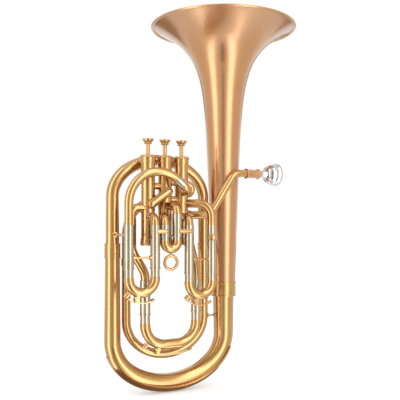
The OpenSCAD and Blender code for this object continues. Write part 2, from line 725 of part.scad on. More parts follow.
module mouthpiece() {
  root_z = receiver_len + 4;
  root_r = shank_tip_r + shank_taper * (root_z - shank_gap);
  top = receiver_len + mouthpiece_reach;
  rim_r = mouthpiece_rim_d / 2;
  cup_r = mouthpiece_cup_d / 2;
  bowl_z = top - 23;
  color(silver) on_mouthpiece_axis() rotate_extrude() polygon(concat(
    [[shank_tip_r - 0.6, shank_gap], [shank_tip_r, shank_gap], [root_r, root_z],
      [root_r - 0.4, root_z + 3], [root_r + 0.6, bowl_z - 3]],
    [for (i = [0 : 8]) let (a = 90 * i / 8)
      [root_r + 1.2 + (rim_r - 2.4 - root_r) * sin(a), bowl_z + 15 * (1 - cos(a))]],
    [[rim_r - 0.8, top - 6], [rim_r, top - 5]],
    [for (i = [0 : 6]) let (a = 180 * i / 6)
      [(rim_r + cup_r) / 2 + (rim_r - cup_r) / 2 * cos(a), top - 3 + 3 * sin(a)]],
    [for (i = [1 : 8]) let (a = 90 * i / 8) [2.6 + (cup_r - 2.6) * cos(a), top - 4 - 16 * sin(a)]],
    [[2.6, bowl_z - 3]]));
}

// Holes of valve i towards its tubes: [turn about the valve axis, height, bore]
function knuckle_turn(x, i) = atan2(x - valve_x[i], slide_row_y - valve_row_y);
front = 0;
right = 90;
left = 270;
knuckle_bore = knuckle_d - 2 * knuckle_wall;
cross_bore = cross_d - 2 * knuckle_wall;
casing_ports = [
  [[front, arch_port_z, knuckle_bore], [knuckle_turn(first_right_x, 0), first_upper_z, knuckle_bore],
    [knuckle_turn(first_left_x, 0), knuckle_z, knuckle_bore], [right, leadpipe_low_z, port_d],
    [left, cross_right_z[0], cross_bore], [left, cross_right_z[1], cross_bore]],
  [[knuckle_turn(second_right_x, 1), second_upper_z, knuckle_bore],
    [knuckle_turn(second_left_x, 1), knuckle_z, knuckle_bore],
    [right, cross_right_z[0], cross_bore], [right, cross_right_z[1], cross_bore],
    [left, cross_left_z[0], cross_bore], [left, cross_left_z[1], cross_bore]],
  [[knuckle_turn(third_right_x, 2), knuckle_z, knuckle_bore], [left, feed_z, port_d],
    [right, cross_left_z[0], cross_bore], [right, cross_left_z[1], cross_bore]]
];

module valve_casing(i) {
  translate([valve_x[i], valve_y, 0]) difference() {
    translate([0, 0, casing_low_z]) cylinder(d = casing_d, h = casing_high_z - casing_low_z);
    translate([0, 0, casing_low_z - bite])
      cylinder(d = casing_bore_d, h = casing_high_z - casing_low_z + 2 * bite);
    for (port = casing_ports[i]) translate([0, 0, port[1]]) rotate([90, 0, port[0]])
      cylinder(d = port[2], h = casing_d);
  }
}

module first_valve_casing() { color(brass) valve_casing(0); }
module second_valve_casing() { color(brass) valve_casing(1); }
module third_valve_casing() { color(brass) valve_casing(2); }

module valve_top_caps() {
  color(brass) for (x = valve_x) translate([x, valve_y, valve_top_z]) difference() {
    union() {
      translate([0, 0, -cap_plate - cap_skirt]) cylinder(d = cap_d, h = cap_plate + cap_skirt - 1);
      translate([0, 0, -1]) cylinder(d1 = cap_d, d2 = cap_d - 2, h = 1);
      translate([0, 0, -3.4]) cylinder(d = cap_d + 2, h = 1.8);
    }
    translate([0, 0, -cap_plate - cap_skirt - bite])
      cylinder(d = casing_d + 2 * solder, h = cap_skirt + bite);
    translate([0, 0, -cap_plate - bite]) cylinder(d = stem_d + 2 * running, h = cap_plate + 2 * bite);
  }
}

module valve_bottom_caps() {
  color(brass) for (x = valve_x) translate([x, valve_y, valve_bottom_z]) difference() {
    union() {
      cylinder(d1 = cap_d - 2, d2 = cap_d, h = 1);
      translate([0, 0, 1]) cylinder(d = cap_d, h = cap_floor + cap_skirt - 1);
      translate([0, 0, 1.6]) cylinder(d = cap_d + 1.2, h = 1.8);
    }
    translate([0, 0, cap_floor]) cylinder(d = casing_d + 2 * solder, h = cap_skirt + bite);
    translate([0, 0, -bite]) cylinder(d = casing_bore_d / 2, h = 1 + bite);
  }
}

// Tube along X between valves i and i + 1
module cross_tube(i, z) {
  difference() {
    translate([valve_x[i + 1], valve_y, z]) rotate([0, 90, 0]) difference() {
      cylinder(d = cross_d, h = valve_pitch);
      cylinder(d = cross_bore, h = valve_pitch);
    }
    casing_core(i);
    casing_core(i + 1);
  }
}

// Collar on the side of valve i, in which a tube of diameter d stands
module side_collar(i, z, d, side) {
  difference() {
    translate([valve_x[i], valve_y, z]) rotate([0, side * 90, 0])
      tube(collar_d, d + 2 * solder, casing_r + collar_len);
    casing_core(i);
  }
}

module valve_cross_tubes() {
  color(brass) {
    for (z = cross_right_z) cross_tube(0, z);
    for (z = cross_left_z) cross_tube(1, z);
    side_collar(0, leadpipe_low_z, leadpipe_d, 1);
    side_collar(2, feed_z, small_tube_d, -1);
  }
}

// Closed tube with round ends that slants from the front of the second valve to the third
module capsule(d, length) {
  rotate_extrude() {
    square([d / 2, length]);
    for (z = [0, length]) translate([0, z]) intersection() {
      circle(d = d);
      translate([0, -d]) square([d, 2 * d]);
    }
  }
}

module diagonal_tube() {
  drop = diagonal_z[0] - diagonal_z[1];
  length = norm([valve_pitch, drop]);
  color(brass) difference() {
    translate([valve_x[2], diagonal_y, diagonal_z[1]]) rotate([0, 90 - atan2(drop, valve_pitch), 0])
      difference() {
        capsule(diagonal_d, length);
        capsule(diagonal_d - 2 * knuckle_wall, length);
      }
    casing_core(1);
    casing_core(2);
  }
}

// Small U-shaped tube behind the first valve
module loop_solid(d) {
  for (s = [-1, 1]) translate([0, 0, s * loop_r]) rotate([0, 90, 0]) cylinder(d = d, h = loop_reach);
  translate([loop_reach, 0, 0]) bend(loop_r, d, 270, 180);
}

module compensating_loop() {
  color(brass) difference() {
    translate([valve_x[0], valve_y + 7, loop_z]) difference() {
      loop_solid(loop_d);
      loop_solid(cross_bore);
    }
    casing_core(0);
  }
}

// Piston with slanting bores at the heights where its valve has tubes
module piston(i) {
  bore_z = [for (drop = [90, 71, 53, 35]) valve_top_z - drop];
  color(nickel) translate([valve_x[i], valve_y, 0]) difference() {
    translate([0, 0, piston_low_z]) cylinder(d = piston_d, h = piston_len);
    for (k = [0 : len(bore_z) - 1]) translate([0, 0, bore_z[k]]) rotate([90, 0, 45 * k])
      cylinder(d = port_d, h = casing_d, center = true);
  }
}

module first_piston() { piston(0); }
module second_piston() { piston(1); }
module third_piston() { piston(2); }

// Stem and finger button of valve i, with a shallow dish in the button's top
module button(i) {
  color(brass) translate([valve_x[i], valve_y, 0]) {
    translate([0, 0, piston_top_z]) cylinder(d = stem_d, h = button_low_z - piston_top_z + bite);
    translate([0, 0, button_low_z]) rotate_extrude() polygon([[0, 0], [button_d / 2 - 1.6, 0],
      [button_d / 2, 1.4], [button_d / 2, button_h - 1], [button_d / 2 - 0.8, button_h],
      [button_d / 2 - 2, button_h], [0, button_h - 0.7]]);
  }
}

module first_button() { button(0); }
module second_button() { button(1); }
module third_button() { button(2); }

module felt(i) {
  color(felt_cream) translate([valve_x[i], valve_y, button_low_z - felt_h])
    tube(felt_d, stem_d + 2 * solder, felt_h);
}

module first_felt() { felt(0); }
module second_felt() { felt(1); }
module third_felt() { felt(2); }

// Helical spring between the bottom cap and the piston of valve i
spring_low_z = casing_low_z + spring_end_gap + spring_wire_d / 2;
spring_high_z = piston_low_z - spring_end_gap - spring_wire_d / 2;
spring_rings = 8 * spring_turns;
spring_path = [for (k = [0 : spring_rings]) let (a = 360 * k / 8)
  [(spring_d - spring_wire_d) / 2 * cos(a), (spring_d - spring_wire_d) / 2 * sin(a),
    mix(spring_low_z, spring_high_z, k / spring_rings)]];

module solid_wire(p, r, n, ref) {
  m = len(p);
  points = [for (i = [0 : m - 1]) for (k = [0 : n - 1]) ring_point(p, i, r, 360 * k / n, ref)];
  faces = concat(
    [for (i = [0 : m - 2]) for (k = [0 : n - 1]) let (j = (k + 1) % n)
      each quad(i * n + k, (i + 1) * n + k, (i + 1) * n + j, i * n + j)],
    [[for (k = [0 : n - 1]) k], [for (k = [n - 1 : -1 : 0]) (m - 1) * n + k]]);
  polyhedron(points, faces);
}

module spring(i) {
  color(steel) translate([valve_x[i], valve_y, 0]) solid_wire(spring_path, spring_wire_d / 2, 6, [0, 0, 1]);
}

module first_spring() { spring(0); }
module second_spring() { spring(1); }
module third_spring() { spring(2); }

module third_knuckle() {
  color(brass) knuckle(third_right_x, sleeve_top_z, 2, knuckle_z);
}

module second_knuckles() {
  color(brass) {
    knuckle(second_left_x, sleeve_top_z, 1, knuckle_z);
    knuckle(second_right_x, sleeve_top_z + second_step, 1, second_upper_z);
  }
}

module first_knuckles() {
  color(brass) {
    knuckle(first_left_x, sleeve_top_z, 0, knuckle_z);
    knuckle(first_right_x, sleeve_top_z, 0, first_upper_z, upper_knuckle_r);
  }
}

// Curve of the tall arch, from its upright leg over to its far end
module third_arch_bend(d) {
  mirror([1, 0, 0]) bend(third_arch_r, d, 0, 180 - third_arch_end);
}

module third_arch() {
  rise = third_arch_z - sleeve_top_z + sleeve_seat;
  bore = knuckle_d - 2 * knuckle_wall;
  color(brass) translate([third_arch_x, slide_y, third_arch_z]) difference() {
    union() {
      third_arch_bend(knuckle_d);
      translate([-third_arch_r, 0, -rise]) cylinder(d = knuckle_d, h = rise);
    }
    third_arch_bend(bore);
    translate([-third_arch_r, 0, -rise]) cylinder(d = bore, h = rise);
  }
}

// Places a child at the end of the tall arch, with +Z along the tube
module at_arch_end() {
  translate([arch_end_x, slide_y, arch_end_z]) rotate([0, 180 - third_arch_end, 0]) children();
}

module arch_ferrule() {
  color(nickel) at_arch_end() translate([0, 0, solder]) difference() {
    cylinder(d = knuckle_d + 2 * ferrule_wall, h = arch_ferrule_len);
    translate([0, 0, -bite]) cylinder(d = knuckle_d + 2 * solder, h = arch_ferrule_len + 2 * bite);
  }
}

module arch_elbow() {
  color(brass) difference() {
    at_arch_end() translate([0, 0, solder])
      elbow(knuckle_d, knuckle_wall, arch_run - knuckle_r - solder, knuckle_r,
        slide_row_y - valve_row_y - knuckle_r);
    casing_core(0);
  }
}

module third_sleeves() {
  color(nickel) for (x = [third_left_x, third_right_x])
    sleeve(x, slide_y, sleeve_top_z, third_sleeve_len, sleeve_d, leg_d, knuckle_d);
}

module second_sleeves() {
  color(nickel) {
    sleeve(second_left_x, slide_y, sleeve_top_z, second_sleeve_len, sleeve_d, leg_d, knuckle_d);
    sleeve(second_right_x, slide_y, sleeve_top_z + second_step, second_sleeve_len + second_step,
      sleeve_d, leg_d, knuckle_d);
  }
}

module first_sleeves() {
  color(nickel) for (x = [first_left_x, first_right_x])
    sleeve(x, slide_y, sleeve_top_z, first_sleeve_len, sleeve_d, leg_d, knuckle_d);
}

module third_slide_legs() {
  color(nickel) for (x = [third_left_x, third_right_x])
    slide_leg(x, slide_y, third_bow_z, sleeve_top_z, leg_d);
}

third_x = (third_left_x + third_right_x) / 2;
second_x = (second_left_x + second_right_x) / 2;
first_x = (first_left_x + first_right_x) / 2;
tuning_x = (tuning_left_x + tuning_right_x) / 2;

module third_slide_bow() {
  color(brass) slide_bow(third_x, slide_y, third_bow_z, third_gap / 2, third_gap, sleeve_d, leg_d);
}

module second_slide_legs() {
  color(nickel) {
    slide_leg(second_left_x, slide_y, second_bow_z, sleeve_top_z, leg_d);
    slide_leg(second_right_x, slide_y, second_bow_z, sleeve_top_z + second_step, leg_d);
  }
}

module second_slide_bow() {
  color(brass) slide_bow(second_x, slide_y, second_bow_z, second_gap / 2, second_gap, sleeve_d, leg_d);
}

// Finger ring under the second slide, with a short neck soldered to the bow
module second_pull_ring() {
  bow_bottom = second_bow_z - second_gap / 2 - sleeve_d / 2;
  color(brass) translate([second_x, slide_y, bow_bottom]) difference() {
    union() {
      translate([0, 0, -ring_d / 2 - 1]) rotate([90, 0, 0]) rotate_extrude()
        translate([(ring_d - ring_t) / 2, 0]) circle(d = ring_t);
      translate([0, 0, -ring_t]) cylinder(d = ring_t, h = ring_t + 2);
    }
    translate([0, 0, second_gap / 2 + sleeve_d / 2]) bend(second_gap / 2, sleeve_d + 2 * solder, 180, 180);
    translate([0, 0, -ring_d / 2 - 1]) rotate([90, 0, 0])
      cylinder(d = ring_d - 2 * ring_t, h = 2 * ring_t, center = true);
  }
}

module first_slide_legs() {
  color(nickel) for (x = [first_left_x, first_right_x])
    slide_leg(x, slide_y, first_bow_z, sleeve_top_z, leg_d);
}

module first_slide_bow() {
  color(brass) slide_bow(first_x, slide_y, first_bow_z, first_gap / 2, first_gap, sleeve_d, leg_d);
}

module tuning_slide_legs() {
  color(nickel) for (x = [tuning_left_x, tuning_right_x])
    slide_leg(x, valve_y, tuning_bow_z, tuning_top_z, tuning_leg_d);
}

module tuning_slide_bow() {
  color(brass)
    slide_bow(tuning_x, valve_y, tuning_bow_z, tuning_r, tuning_gap, tuning_sleeve_d, tuning_leg_d);
}

module on_third_bow() { translate([third_x, slide_y, third_bow_z]) children(); }
module on_first_bow() { translate([first_x, slide_y, first_bow_z]) children(); }
module on_tuning_bow() { translate([tuning_x, valve_y, tuning_bow_z]) children(); }

module third_key_saddle() {
  color(brass) on_third_bow() key_saddle(third_gap / 2, sleeve_d, third_gap);
}

module third_water_key() {
  color(brass) on_third_bow() water_key(third_gap / 2, sleeve_d, third_gap);
}

module first_key_saddle() {
  color(brass) on_first_bow() key_saddle(first_gap / 2, sleeve_d, first_gap);
}

module first_water_key() {
  color(brass) on_first_bow() water_key(first_gap / 2, sleeve_d, first_gap);
}

module tuning_key_saddle() {
  color(brass) on_tuning_bow() key_saddle(tuning_r, tuning_sleeve_d, tuning_gap);
}

module tuning_water_key() {
  color(brass) on_tuning_bow() water_key(tuning_r, tuning_sleeve_d, tuning_gap);
}

// Upright cutting cylinder at a place
module core(x, y, d) {
  translate([x, y, 0]) cylinder(d = d + 2 * solder, h = bell_top);
}

rod_d = 3;
foot_d = 6.4;
third_rod_z = sleeve_top_z - 46;
first_rod_z = sleeve_top_z - 50;
strap_z = sleeve_top_z - 12;
strap_h = 6;
branch_rod_z = sleeve_top_z - 14;
bow_rod_z = inner_bow_z;

// Rod along X between two upright tubes at depth y, with a round foot at each end
module rod_x(x0, d0, x1, d1, y, z) {
  difference() {
    union() {
      translate([x0, y, z]) rotate([0, 90, 0]) cylinder(d = rod_d, h = x1 - x0);
      translate([x0, y, z]) rotate([0, 90, 0]) cylinder(d = foot_d, h = d0 / 2 + 1.6);
      translate([x1, y, z]) rotate([0, -90, 0]) cylinder(d = foot_d, h = d1 / 2 + 1.6);
    }
    core(x0, y, d0);
    core(x1, y, d1);
  }
}

// Strap in front of two neighbouring sleeves
module strap(x0, x1) {
  difference() {
    translate([x0, slide_y - sleeve_d / 2 - 1.2, strap_z]) cube([x1 - x0, 6, strap_h]);
    core(x0, slide_y, sleeve_d);
    core(x1, slide_y, sleeve_d);
  }
}

// Post that carries the leadpipe where it crosses the bell
module leadpipe_post() {
  a = 90 + leadpipe_slope / 2;
  x = leadpipe_high_x + leadpipe_tangent + leadpipe_r * cos(a);
  z = leadpipe_high_z - leadpipe_r + leadpipe_r * sin(a);
  difference() {
    translate([x, valve_y + leadpipe_d / 2 + solder, z]) rotate([-90, 0, 0])
      cylinder(d = foot_d, h = valve_row_y);
    translate([bell_x, 0, 0]) cylinder(r = bell_r(z + foot_d / 2) + solder, h = bell_top);
  }
}

// Post from the back of valve i to the back arch
module valve_post(i) {
  z = back_arch_z + sqrt(pow(back_arch_r, 2) - pow(valve_x[i] - inner_leg_x - back_arch_r, 2));
  difference() {
    translate([valve_x[i], valve_y, z]) rotate([-90, 0, 0]) {
      cylinder(d = rod_d + 1, h = valve_row_y - small_tube_d / 2 - solder);
      cylinder(d = foot_d, h = casing_r + 1.6);
    }
    casing_core(i);
  }
}

module braces() {
  bow_rod_d = 2 * along([for (i = [0 : 4]) [-bow_path[i][2], bow_radii[i]]], -bow_rod_z);
  leg_rod_d = along(inner_stops, leg_joint_z - bow_rod_z);
  color(brass) {
    rod_x(third_left_x, sleeve_d, third_right_x, sleeve_d, slide_y, third_rod_z);
    rod_x(first_left_x, sleeve_d, first_right_x, sleeve_d, slide_y, first_rod_z);
    rod_x(right_leg_x, leg_rod_d, bell_x, bow_rod_d, 0, bow_rod_z);
    strap(third_right_x, second_left_x);
    strap(second_right_x, first_left_x);
    leadpipe_post();
    for (i = [0, 2]) valve_post(i);
    difference() {
      translate([left_x, 0, branch_rod_z]) rotate([90, 0, 0]) {
        cylinder(d = rod_d + 1, h = slide_row_y);
        cylinder(d = foot_d + 1, h = branch_d / 2 + 1.6);
        translate([0, 0, slide_row_y - sleeve_d / 2 - 1.6]) cylinder(d = foot_d, h = sleeve_d / 2);
      }
      core(left_x, 0, branch_d);
      core(third_left_x, slide_y, sleeve_d);
    }
  }
}

// Foot and round boss on the first slide's right sleeve, with an upright socket for a music lyre
lyre_boss_d = lyre_bore_d + 2 * lyre_wall;
lyre_bore_at = sleeve_d / 2 + lyre_foot_t + lyre_boss_d / 2;
lyre_reach = lyre_bore_at + lyre_boss_d / 2;
lyre_knob_h = 3.2;
lyre_neck = 2;

module on_lyre_sleeve() {
  translate([first_right_x, slide_y, lyre_z - lyre_h / 2]) rotate([0, 0, lyre_turn]) children();
}

module lyre_holder() {
  color(brass) on_lyre_sleeve() difference() {
    union() {
      intersection() {
        cylinder(r = sleeve_d / 2 + lyre_foot_t, h = lyre_h);
        translate([-lyre_boss_d / 2, -lyre_reach, 0]) cube([lyre_boss_d, lyre_reach, lyre_h]);
      }
      translate([0, -lyre_bore_at, 0]) cylinder(d = lyre_boss_d, h = lyre_h);
      translate([-lyre_bore_d / 2, -lyre_bore_at, 0]) cube([lyre_bore_d, lyre_bore_at, lyre_h]);
    }
    translate([0, 0, -bite]) cylinder(d = sleeve_d + 2 * solder, h = lyre_h + 2 * bite);
    translate([0, -lyre_bore_at, -bite]) cylinder(d = lyre_bore_d, h = lyre_h + 2 * bite);
    translate([0, -lyre_bore_at, lyre_h / 2]) rotate([90, 0, 0])
      cylinder(d = lyre_screw_d + 2 * running, h = lyre_reach);
  }
}

// Thumb screw whose tip stops just short of the socket
module lyre_screw() {
  tip = lyre_bore_at + lyre_bore_d / 2 + 0.3;
  color(brass) on_lyre_sleeve() translate([0, -tip, lyre_h / 2]) rotate([90, 0, 0]) {
    cylinder(d = lyre_screw_d, h = lyre_reach - tip + lyre_neck + bite);
    translate([0, 0, lyre_reach - tip + lyre_neck]) cylinder(d = lyre_knob_d, h = lyre_knob_h);
  }
}

bell();
bell_ferrule();
bottom_bow();
bow_guard();
top_bow();
inner_bow();
back_arch();
tube_ferrules();
tuning_feed_tube();
tuning_sleeves();
leadpipe();
mouthpiece_receiver();
mouthpiece();
first_valve_casing();
second_valve_casing();
third_valve_casing();
valve_top_caps();
valve_bottom_caps();
valve_cross_tubes();
diagonal_tube();
compensating_loop();
first_piston();
second_piston();
third_piston();
first_button();
second_button();
third_button();
first_felt();
second_felt();
third_felt();
first_spring();
second_spring();
third_spring();
third_knuckle();
second_knuckles();
first_knuckles();
third_arch();
arch_ferrule();
arch_elbow();
third_sleeves();
second_sleeves();
first_sleeves();
third_slide_legs();
third_slide_bow();
second_slide_legs();
second_slide_bow();
second_pull_ring();
first_slide_legs();
first_slide_bow();
tuning_slide_legs();
tuning_slide_bow();
third_key_saddle();
third_water_key();
first_key_saddle();
first_water_key();
tuning_key_saddle();
tuning_water_key();
braces();
lyre_holder();
lyre_screw();
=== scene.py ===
"""Looks of a baritone horn in satin lacquered brass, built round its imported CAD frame.

Sizes of pieces are in millimetres and are the CAD model's own. A mesh is scaled to metres when it becomes a
piece. The studio is in metres.
"""

import logging
from dataclasses import dataclass
from enum import Enum
from itertools import accumulate
from math import atan2, cos, exp, hypot, radians, sin, tan, tau
from typing import Sequence, Union

import bmesh
import bpy
from mathutils import Matrix, Vector


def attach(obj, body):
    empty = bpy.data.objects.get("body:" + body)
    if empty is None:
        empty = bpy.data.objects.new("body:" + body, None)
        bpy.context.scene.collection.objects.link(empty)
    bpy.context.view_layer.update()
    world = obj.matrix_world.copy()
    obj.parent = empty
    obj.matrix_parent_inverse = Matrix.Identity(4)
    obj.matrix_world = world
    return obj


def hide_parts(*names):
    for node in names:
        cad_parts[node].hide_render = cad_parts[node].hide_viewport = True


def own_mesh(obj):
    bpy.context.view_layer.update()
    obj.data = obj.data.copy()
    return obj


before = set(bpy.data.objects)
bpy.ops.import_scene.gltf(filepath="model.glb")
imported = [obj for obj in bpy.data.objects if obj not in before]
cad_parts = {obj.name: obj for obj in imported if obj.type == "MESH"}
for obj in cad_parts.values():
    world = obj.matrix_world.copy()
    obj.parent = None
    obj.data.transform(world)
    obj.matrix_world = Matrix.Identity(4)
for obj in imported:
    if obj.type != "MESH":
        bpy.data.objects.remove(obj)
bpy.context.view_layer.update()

LOG = logging.getLogger("baritone_horn")
MM = 0.001
# Gap between two faces that would otherwise lie on each other
CLEARANCE = 0.05
# Share of an edge that the rounding of one of its corners may take up
EDGE_SHARE = 0.45

BMesh = bmesh.types.BMesh
Point2 = tuple[float, float]
Point3 = tuple[float, float, float]
Inputs = dict[Union[str, int], Union[bpy.types.NodeSocket, float, tuple]]


class Body(Enum):
    """CAD bodies that pieces ride on."""

    HORN = "horn"
    FIRST_VALVE = "first_valve"
    SECOND_VALVE = "second_valve"
    THIRD_VALVE = "third_valve"
    MOUTHPIECE = "mouthpiece"
    LYRE_SCREW = "lyre_screw"


class Slot(Enum):
    """Material slots of the record that pieces take."""

    BRASS = "lacquered_brass"
    ROSE = "rose_brass"
    NICKEL = "nickel_silver"
    SILVER = "silver_plate"
    STEEL = "spring_steel"


def linear(hex_colour: str) -> tuple[float, float, float, float]:
    """Linear RGBA of an sRGB colour of six hex digits."""
    channels = [int(hex_colour[i:i + 2], 16) / 255 for i in (0, 2, 4)]
    return (*(c / 12.92 if c <= 0.04045 else ((c + 0.055) / 1.055) ** 2.4 for c in channels), 1.0)


def feed(tree: bpy.types.NodeTree, node: bpy.types.Node, inputs: Inputs) -> None:
    """Set or link inputs of a node.

    Args:
        tree: node tree that holds the node.
        node: the node.
        inputs: value or socket for each input, by name or number.
    """
    for key, value in inputs.items():
        if isinstance(value, bpy.types.NodeSocket):
            tree.links.new(value, node.inputs[key])
        else:
            node.inputs[key].default_value = value


def add_node(tree: bpy.types.NodeTree, kind: str, inputs: Inputs | None = None,
             **settings: object) -> bpy.types.Node:
    """Add a node with its settings, and set or link its inputs.

    Args:
        tree: node tree that gets the node.
        kind: Blender's type name of the node.
        inputs: value or socket for each input, by name or number.
        **settings: attributes of the node itself.

    Returns:
        The new node.
    """
    node = tree.nodes.new(kind)
    for name, value in settings.items():
        setattr(node, name, value)
    feed(tree, node, inputs or {})
    return node


def blank_material(name: str) -> tuple[bpy.types.Material, bpy.types.NodeTree, bpy.types.Node]:
    """Make a material that holds only a Principled shader and its output.

    Args:
        name: name of the material.

    Returns:
        The material, its node tree and the shader.
    """
    material = bpy.data.materials.new(name)
    material.use_nodes = True
    tree = material.node_tree
    tree.nodes.clear()
    shader = add_node(tree, "ShaderNodeBsdfPrincipled")
    add_node(tree, "ShaderNodeOutputMaterial", {"Surface": shader.outputs["BSDF"]})
    return material, tree, shader


def seen_directly(tree: bpy.types.NodeTree) -> bpy.types.NodeSocket:
    """Tell rays that see a surface from rays that gather light.

    Args:
        tree: node tree that asks.

    Returns:
        Socket that is 1 for camera, mirror and glass rays, and else 0.
    """
    path = add_node(tree, "ShaderNodeLightPath").outputs
    seen = path["Is Camera Ray"]
    for ray in ("Is Glossy Ray", "Is Transmission Ray"):
        seen = add_node(tree, "ShaderNodeMath", {0: seen, 1: path[ray]}, operation="MAXIMUM").outputs[0]
    return seen


@dataclass(frozen=True)
class Metal:
    """A worked metal surface: two close tones in clouds, buffing grain and an optional clear lacquer."""

    name: str
    slot: Slot
    tone: str
    deep: str
    roughness: float
    roughness_spread: float
    cloud_mm: float
    grain_mm: float
    grain_stretch: float = 1.0
    grain_depth_mm: float = 0.003
    lacquer: float = 0.0
    lacquer_roughness: float = 0.1

    def make(self) -> bpy.types.Material:
        """Build the material on Object coordinates.

        Returns:
            The new material.
        """
        material, tree, shader = blank_material(self.name)
        place = add_node(tree, "ShaderNodeTexCoord").outputs["Object"]
        cloud = add_node(tree, "ShaderNodeTexNoise",
                         {"Vector": place, "Scale": 1 / (self.cloud_mm * MM), "Detail": 3.0})
        tones = add_node(tree, "ShaderNodeMix",
                         {0: cloud.outputs["Fac"], 6: linear(self.deep), 7: linear(self.tone)},
                         data_type="RGBA")
        drawn = add_node(tree, "ShaderNodeMapping",
                         {"Vector": place, "Scale": (1.0, 1.0, self.grain_stretch)})
        grain = add_node(tree, "ShaderNodeTexNoise",
                         {"Vector": drawn.outputs["Vector"], "Scale": 1 / (self.grain_mm * MM),
                          "Detail": 2.0})
        satin = add_node(tree, "ShaderNodeMapRange",
                         {"Value": grain.outputs["Fac"], "From Min": 0.3, "From Max": 0.7,
                          "To Min": self.roughness - self.roughness_spread,
                          "To Max": self.roughness + self.roughness_spread})
        bump = add_node(tree, "ShaderNodeBump",
                        {"Height": grain.outputs["Fac"], "Strength": 0.35,
                         "Distance": self.grain_depth_mm * MM})
        feed(tree, shader, {"Base Color": tones.outputs[2], "Roughness": satin.outputs["Result"],
                            "Normal": bump.outputs["Normal"], "Metallic": 1.0, "Coat Weight": self.lacquer,
                            "Coat Roughness": self.lacquer_roughness})
        return material


@dataclass(frozen=True)
class Fibre:
    """A matt pressed material with flecks of a second tone and a rough face."""

    name: str
    tone: str
    fleck: str
    fleck_mm: float
    depth_mm: float

    def make(self) -> bpy.types.Material:
        """Build the material on Object coordinates.

        Returns:
            The new material.
        """
        material, tree, shader = blank_material(self.name)
        place = add_node(tree, "ShaderNodeTexCoord").outputs["Object"]
        flecks = add_node(tree, "ShaderNodeTexVoronoi",
                          {"Vector": place, "Scale": 1 / (self.fleck_mm * MM)})
        spread = add_node(tree, "ShaderNodeMapRange",
                          {"Value": flecks.outputs["Distance"], "From Min": 0.1, "From Max": 0.7})
        tones = add_node(tree, "ShaderNodeMix",
                         {0: spread.outputs["Result"], 6: linear(self.fleck), 7: linear(self.tone)},
                         data_type="RGBA")
        bump = add_node(tree, "ShaderNodeBump",
                        {"Height": flecks.outputs["Distance"], "Distance": self.depth_mm * MM})
        feed(tree, shader, {"Base Color": tones.outputs[2], "Normal": bump.outputs["Normal"],
                            "Roughness": 0.9})
        return material


# Yellow brass tube, drawn, satin buffed and lacquered: warm gold with broad soft highlights
SATIN_BRASS = Metal("satin_lacquered_brass", Slot.BRASS, tone="CAA067", deep="BE9257", roughness=0.23,
                    roughness_spread=0.02, cloud_mm=28.0, grain_mm=0.5, grain_stretch=0.35,
                    lacquer=1.0, lacquer_roughness=0.12)
# Red brass sheet, hand spun and satin brushed along its length: a pinker and paler gold
ROSE_BRASS = Metal("satin_rose_brass", Slot.ROSE, tone="CE9D71", deep="C49163", roughness=0.3,
                   roughness_spread=0.03, cloud_mm=45.0, grain_mm=0.6, grain_stretch=0.03,
                   lacquer=1.0, lacquer_roughness=0.14)
# Nickel silver tube, drawn and polished: a warm grey white without lacquer
NICKEL_SILVER = Metal("polished_nickel_silver", Slot.NICKEL, tone="C2B8A8", deep="B3A797", roughness=0.19,
                      roughness_spread=0.03, cloud_mm=18.0, grain_mm=0.4, grain_stretch=0.3,
                      grain_depth_mm=0.002)
# Silver plate over turned brass, polished bright: a nearly colourless mirror
SILVER_PLATE = Metal("bright_silver_plate", Slot.SILVER, tone="D2CFD4", deep="C6C3C9", roughness=0.06,
                     roughness_spread=0.015, cloud_mm=14.0, grain_mm=0.8, grain_depth_mm=0.001)
# Drawn steel wire, bright and bare
SPRING_WIRE = Metal("drawn_steel_wire", Slot.STEEL, tone="B4B5B8", deep="A2A3A8", roughness=0.3,
                    roughness_spread=0.04, cloud_mm=6.0, grain_mm=0.3)
# Pressed wool felt under a finger button, in the tan of the brass
WOOL_FELT = Fibre("pressed_wool_felt", tone="B8935A", fleck="9C7742", fleck_mm=0.5, depth_mm=0.15)


def ease(t: float) -> float:
    """Smooth step from 0 to 1."""
    return t * t * (3 - 2 * t)


def mix(a: float, b: float, t: float) -> float:
    """Value between a and b."""
    return a + (b - a) * t


def along(stops: Sequence[Point2], s: float) -> float:
    """Value at place s between stops.

    Args:
        stops: pairs of place and value, in rising order of place.
        s: place to read.

    Returns:
        The value, held constant before the first stop and after the last.
    """
    if s <= stops[0][0]:
        return stops[0][1]
    for (s0, v0), (s1, v1) in zip(stops, stops[1:]):
        if s <= s1:
            return mix(v0, v1, (s - s0) / (s1 - s0))
    return stops[-1][1]


def arc(cx: float, cz: float, rx: float, rz: float, a0: float, a1: float, steps: int,
        y: float = 0.0) -> list[Vector]:
    """Points of an elliptic arc from angle a0 to a1, in degrees, in the upright plane at depth y."""
    angles = [radians(mix(a0, a1, i / steps)) for i in range(steps + 1)]
    return [Vector((cx + rx * cos(a), y, cz + rz * sin(a))) for a in angles]


def straight(a: Vector, b: Vector, steps: int) -> list[Vector]:
    """Points between a and b, without either end."""
    return [a.lerp(b, i / steps) for i in range(1, steps)]


def bowed(start: Point2, bend: Sequence[Vector], end: Point2, steps: int) -> list[Vector]:
    """Bend in the plane of the main tubing with a straight run, in steps, before and after it."""
    first, last = (Vector((x, 0, z)) for x, z in (start, end))
    return [first, *straight(first, bend[0], steps), *bend, *straight(bend[-1], last, steps), last]


def swing(a: Vector, b: Vector, steps: int) -> list[Vector]:
    """Points of an S-shaped run down from a to b, with both ends."""
    return [Vector((mix(a.x, b.x, ease(t)), mix(a.y, b.y, ease(t)), mix(a.z, b.z, t)))
            for t in (i / steps for i in range(steps + 1))]


def lengths(path: Sequence[Vector]) -> list[float]:
    """Length of a path up to each of its points."""
    return list(accumulate(((b - a).length for a, b in zip(path, path[1:])), initial=0.0))


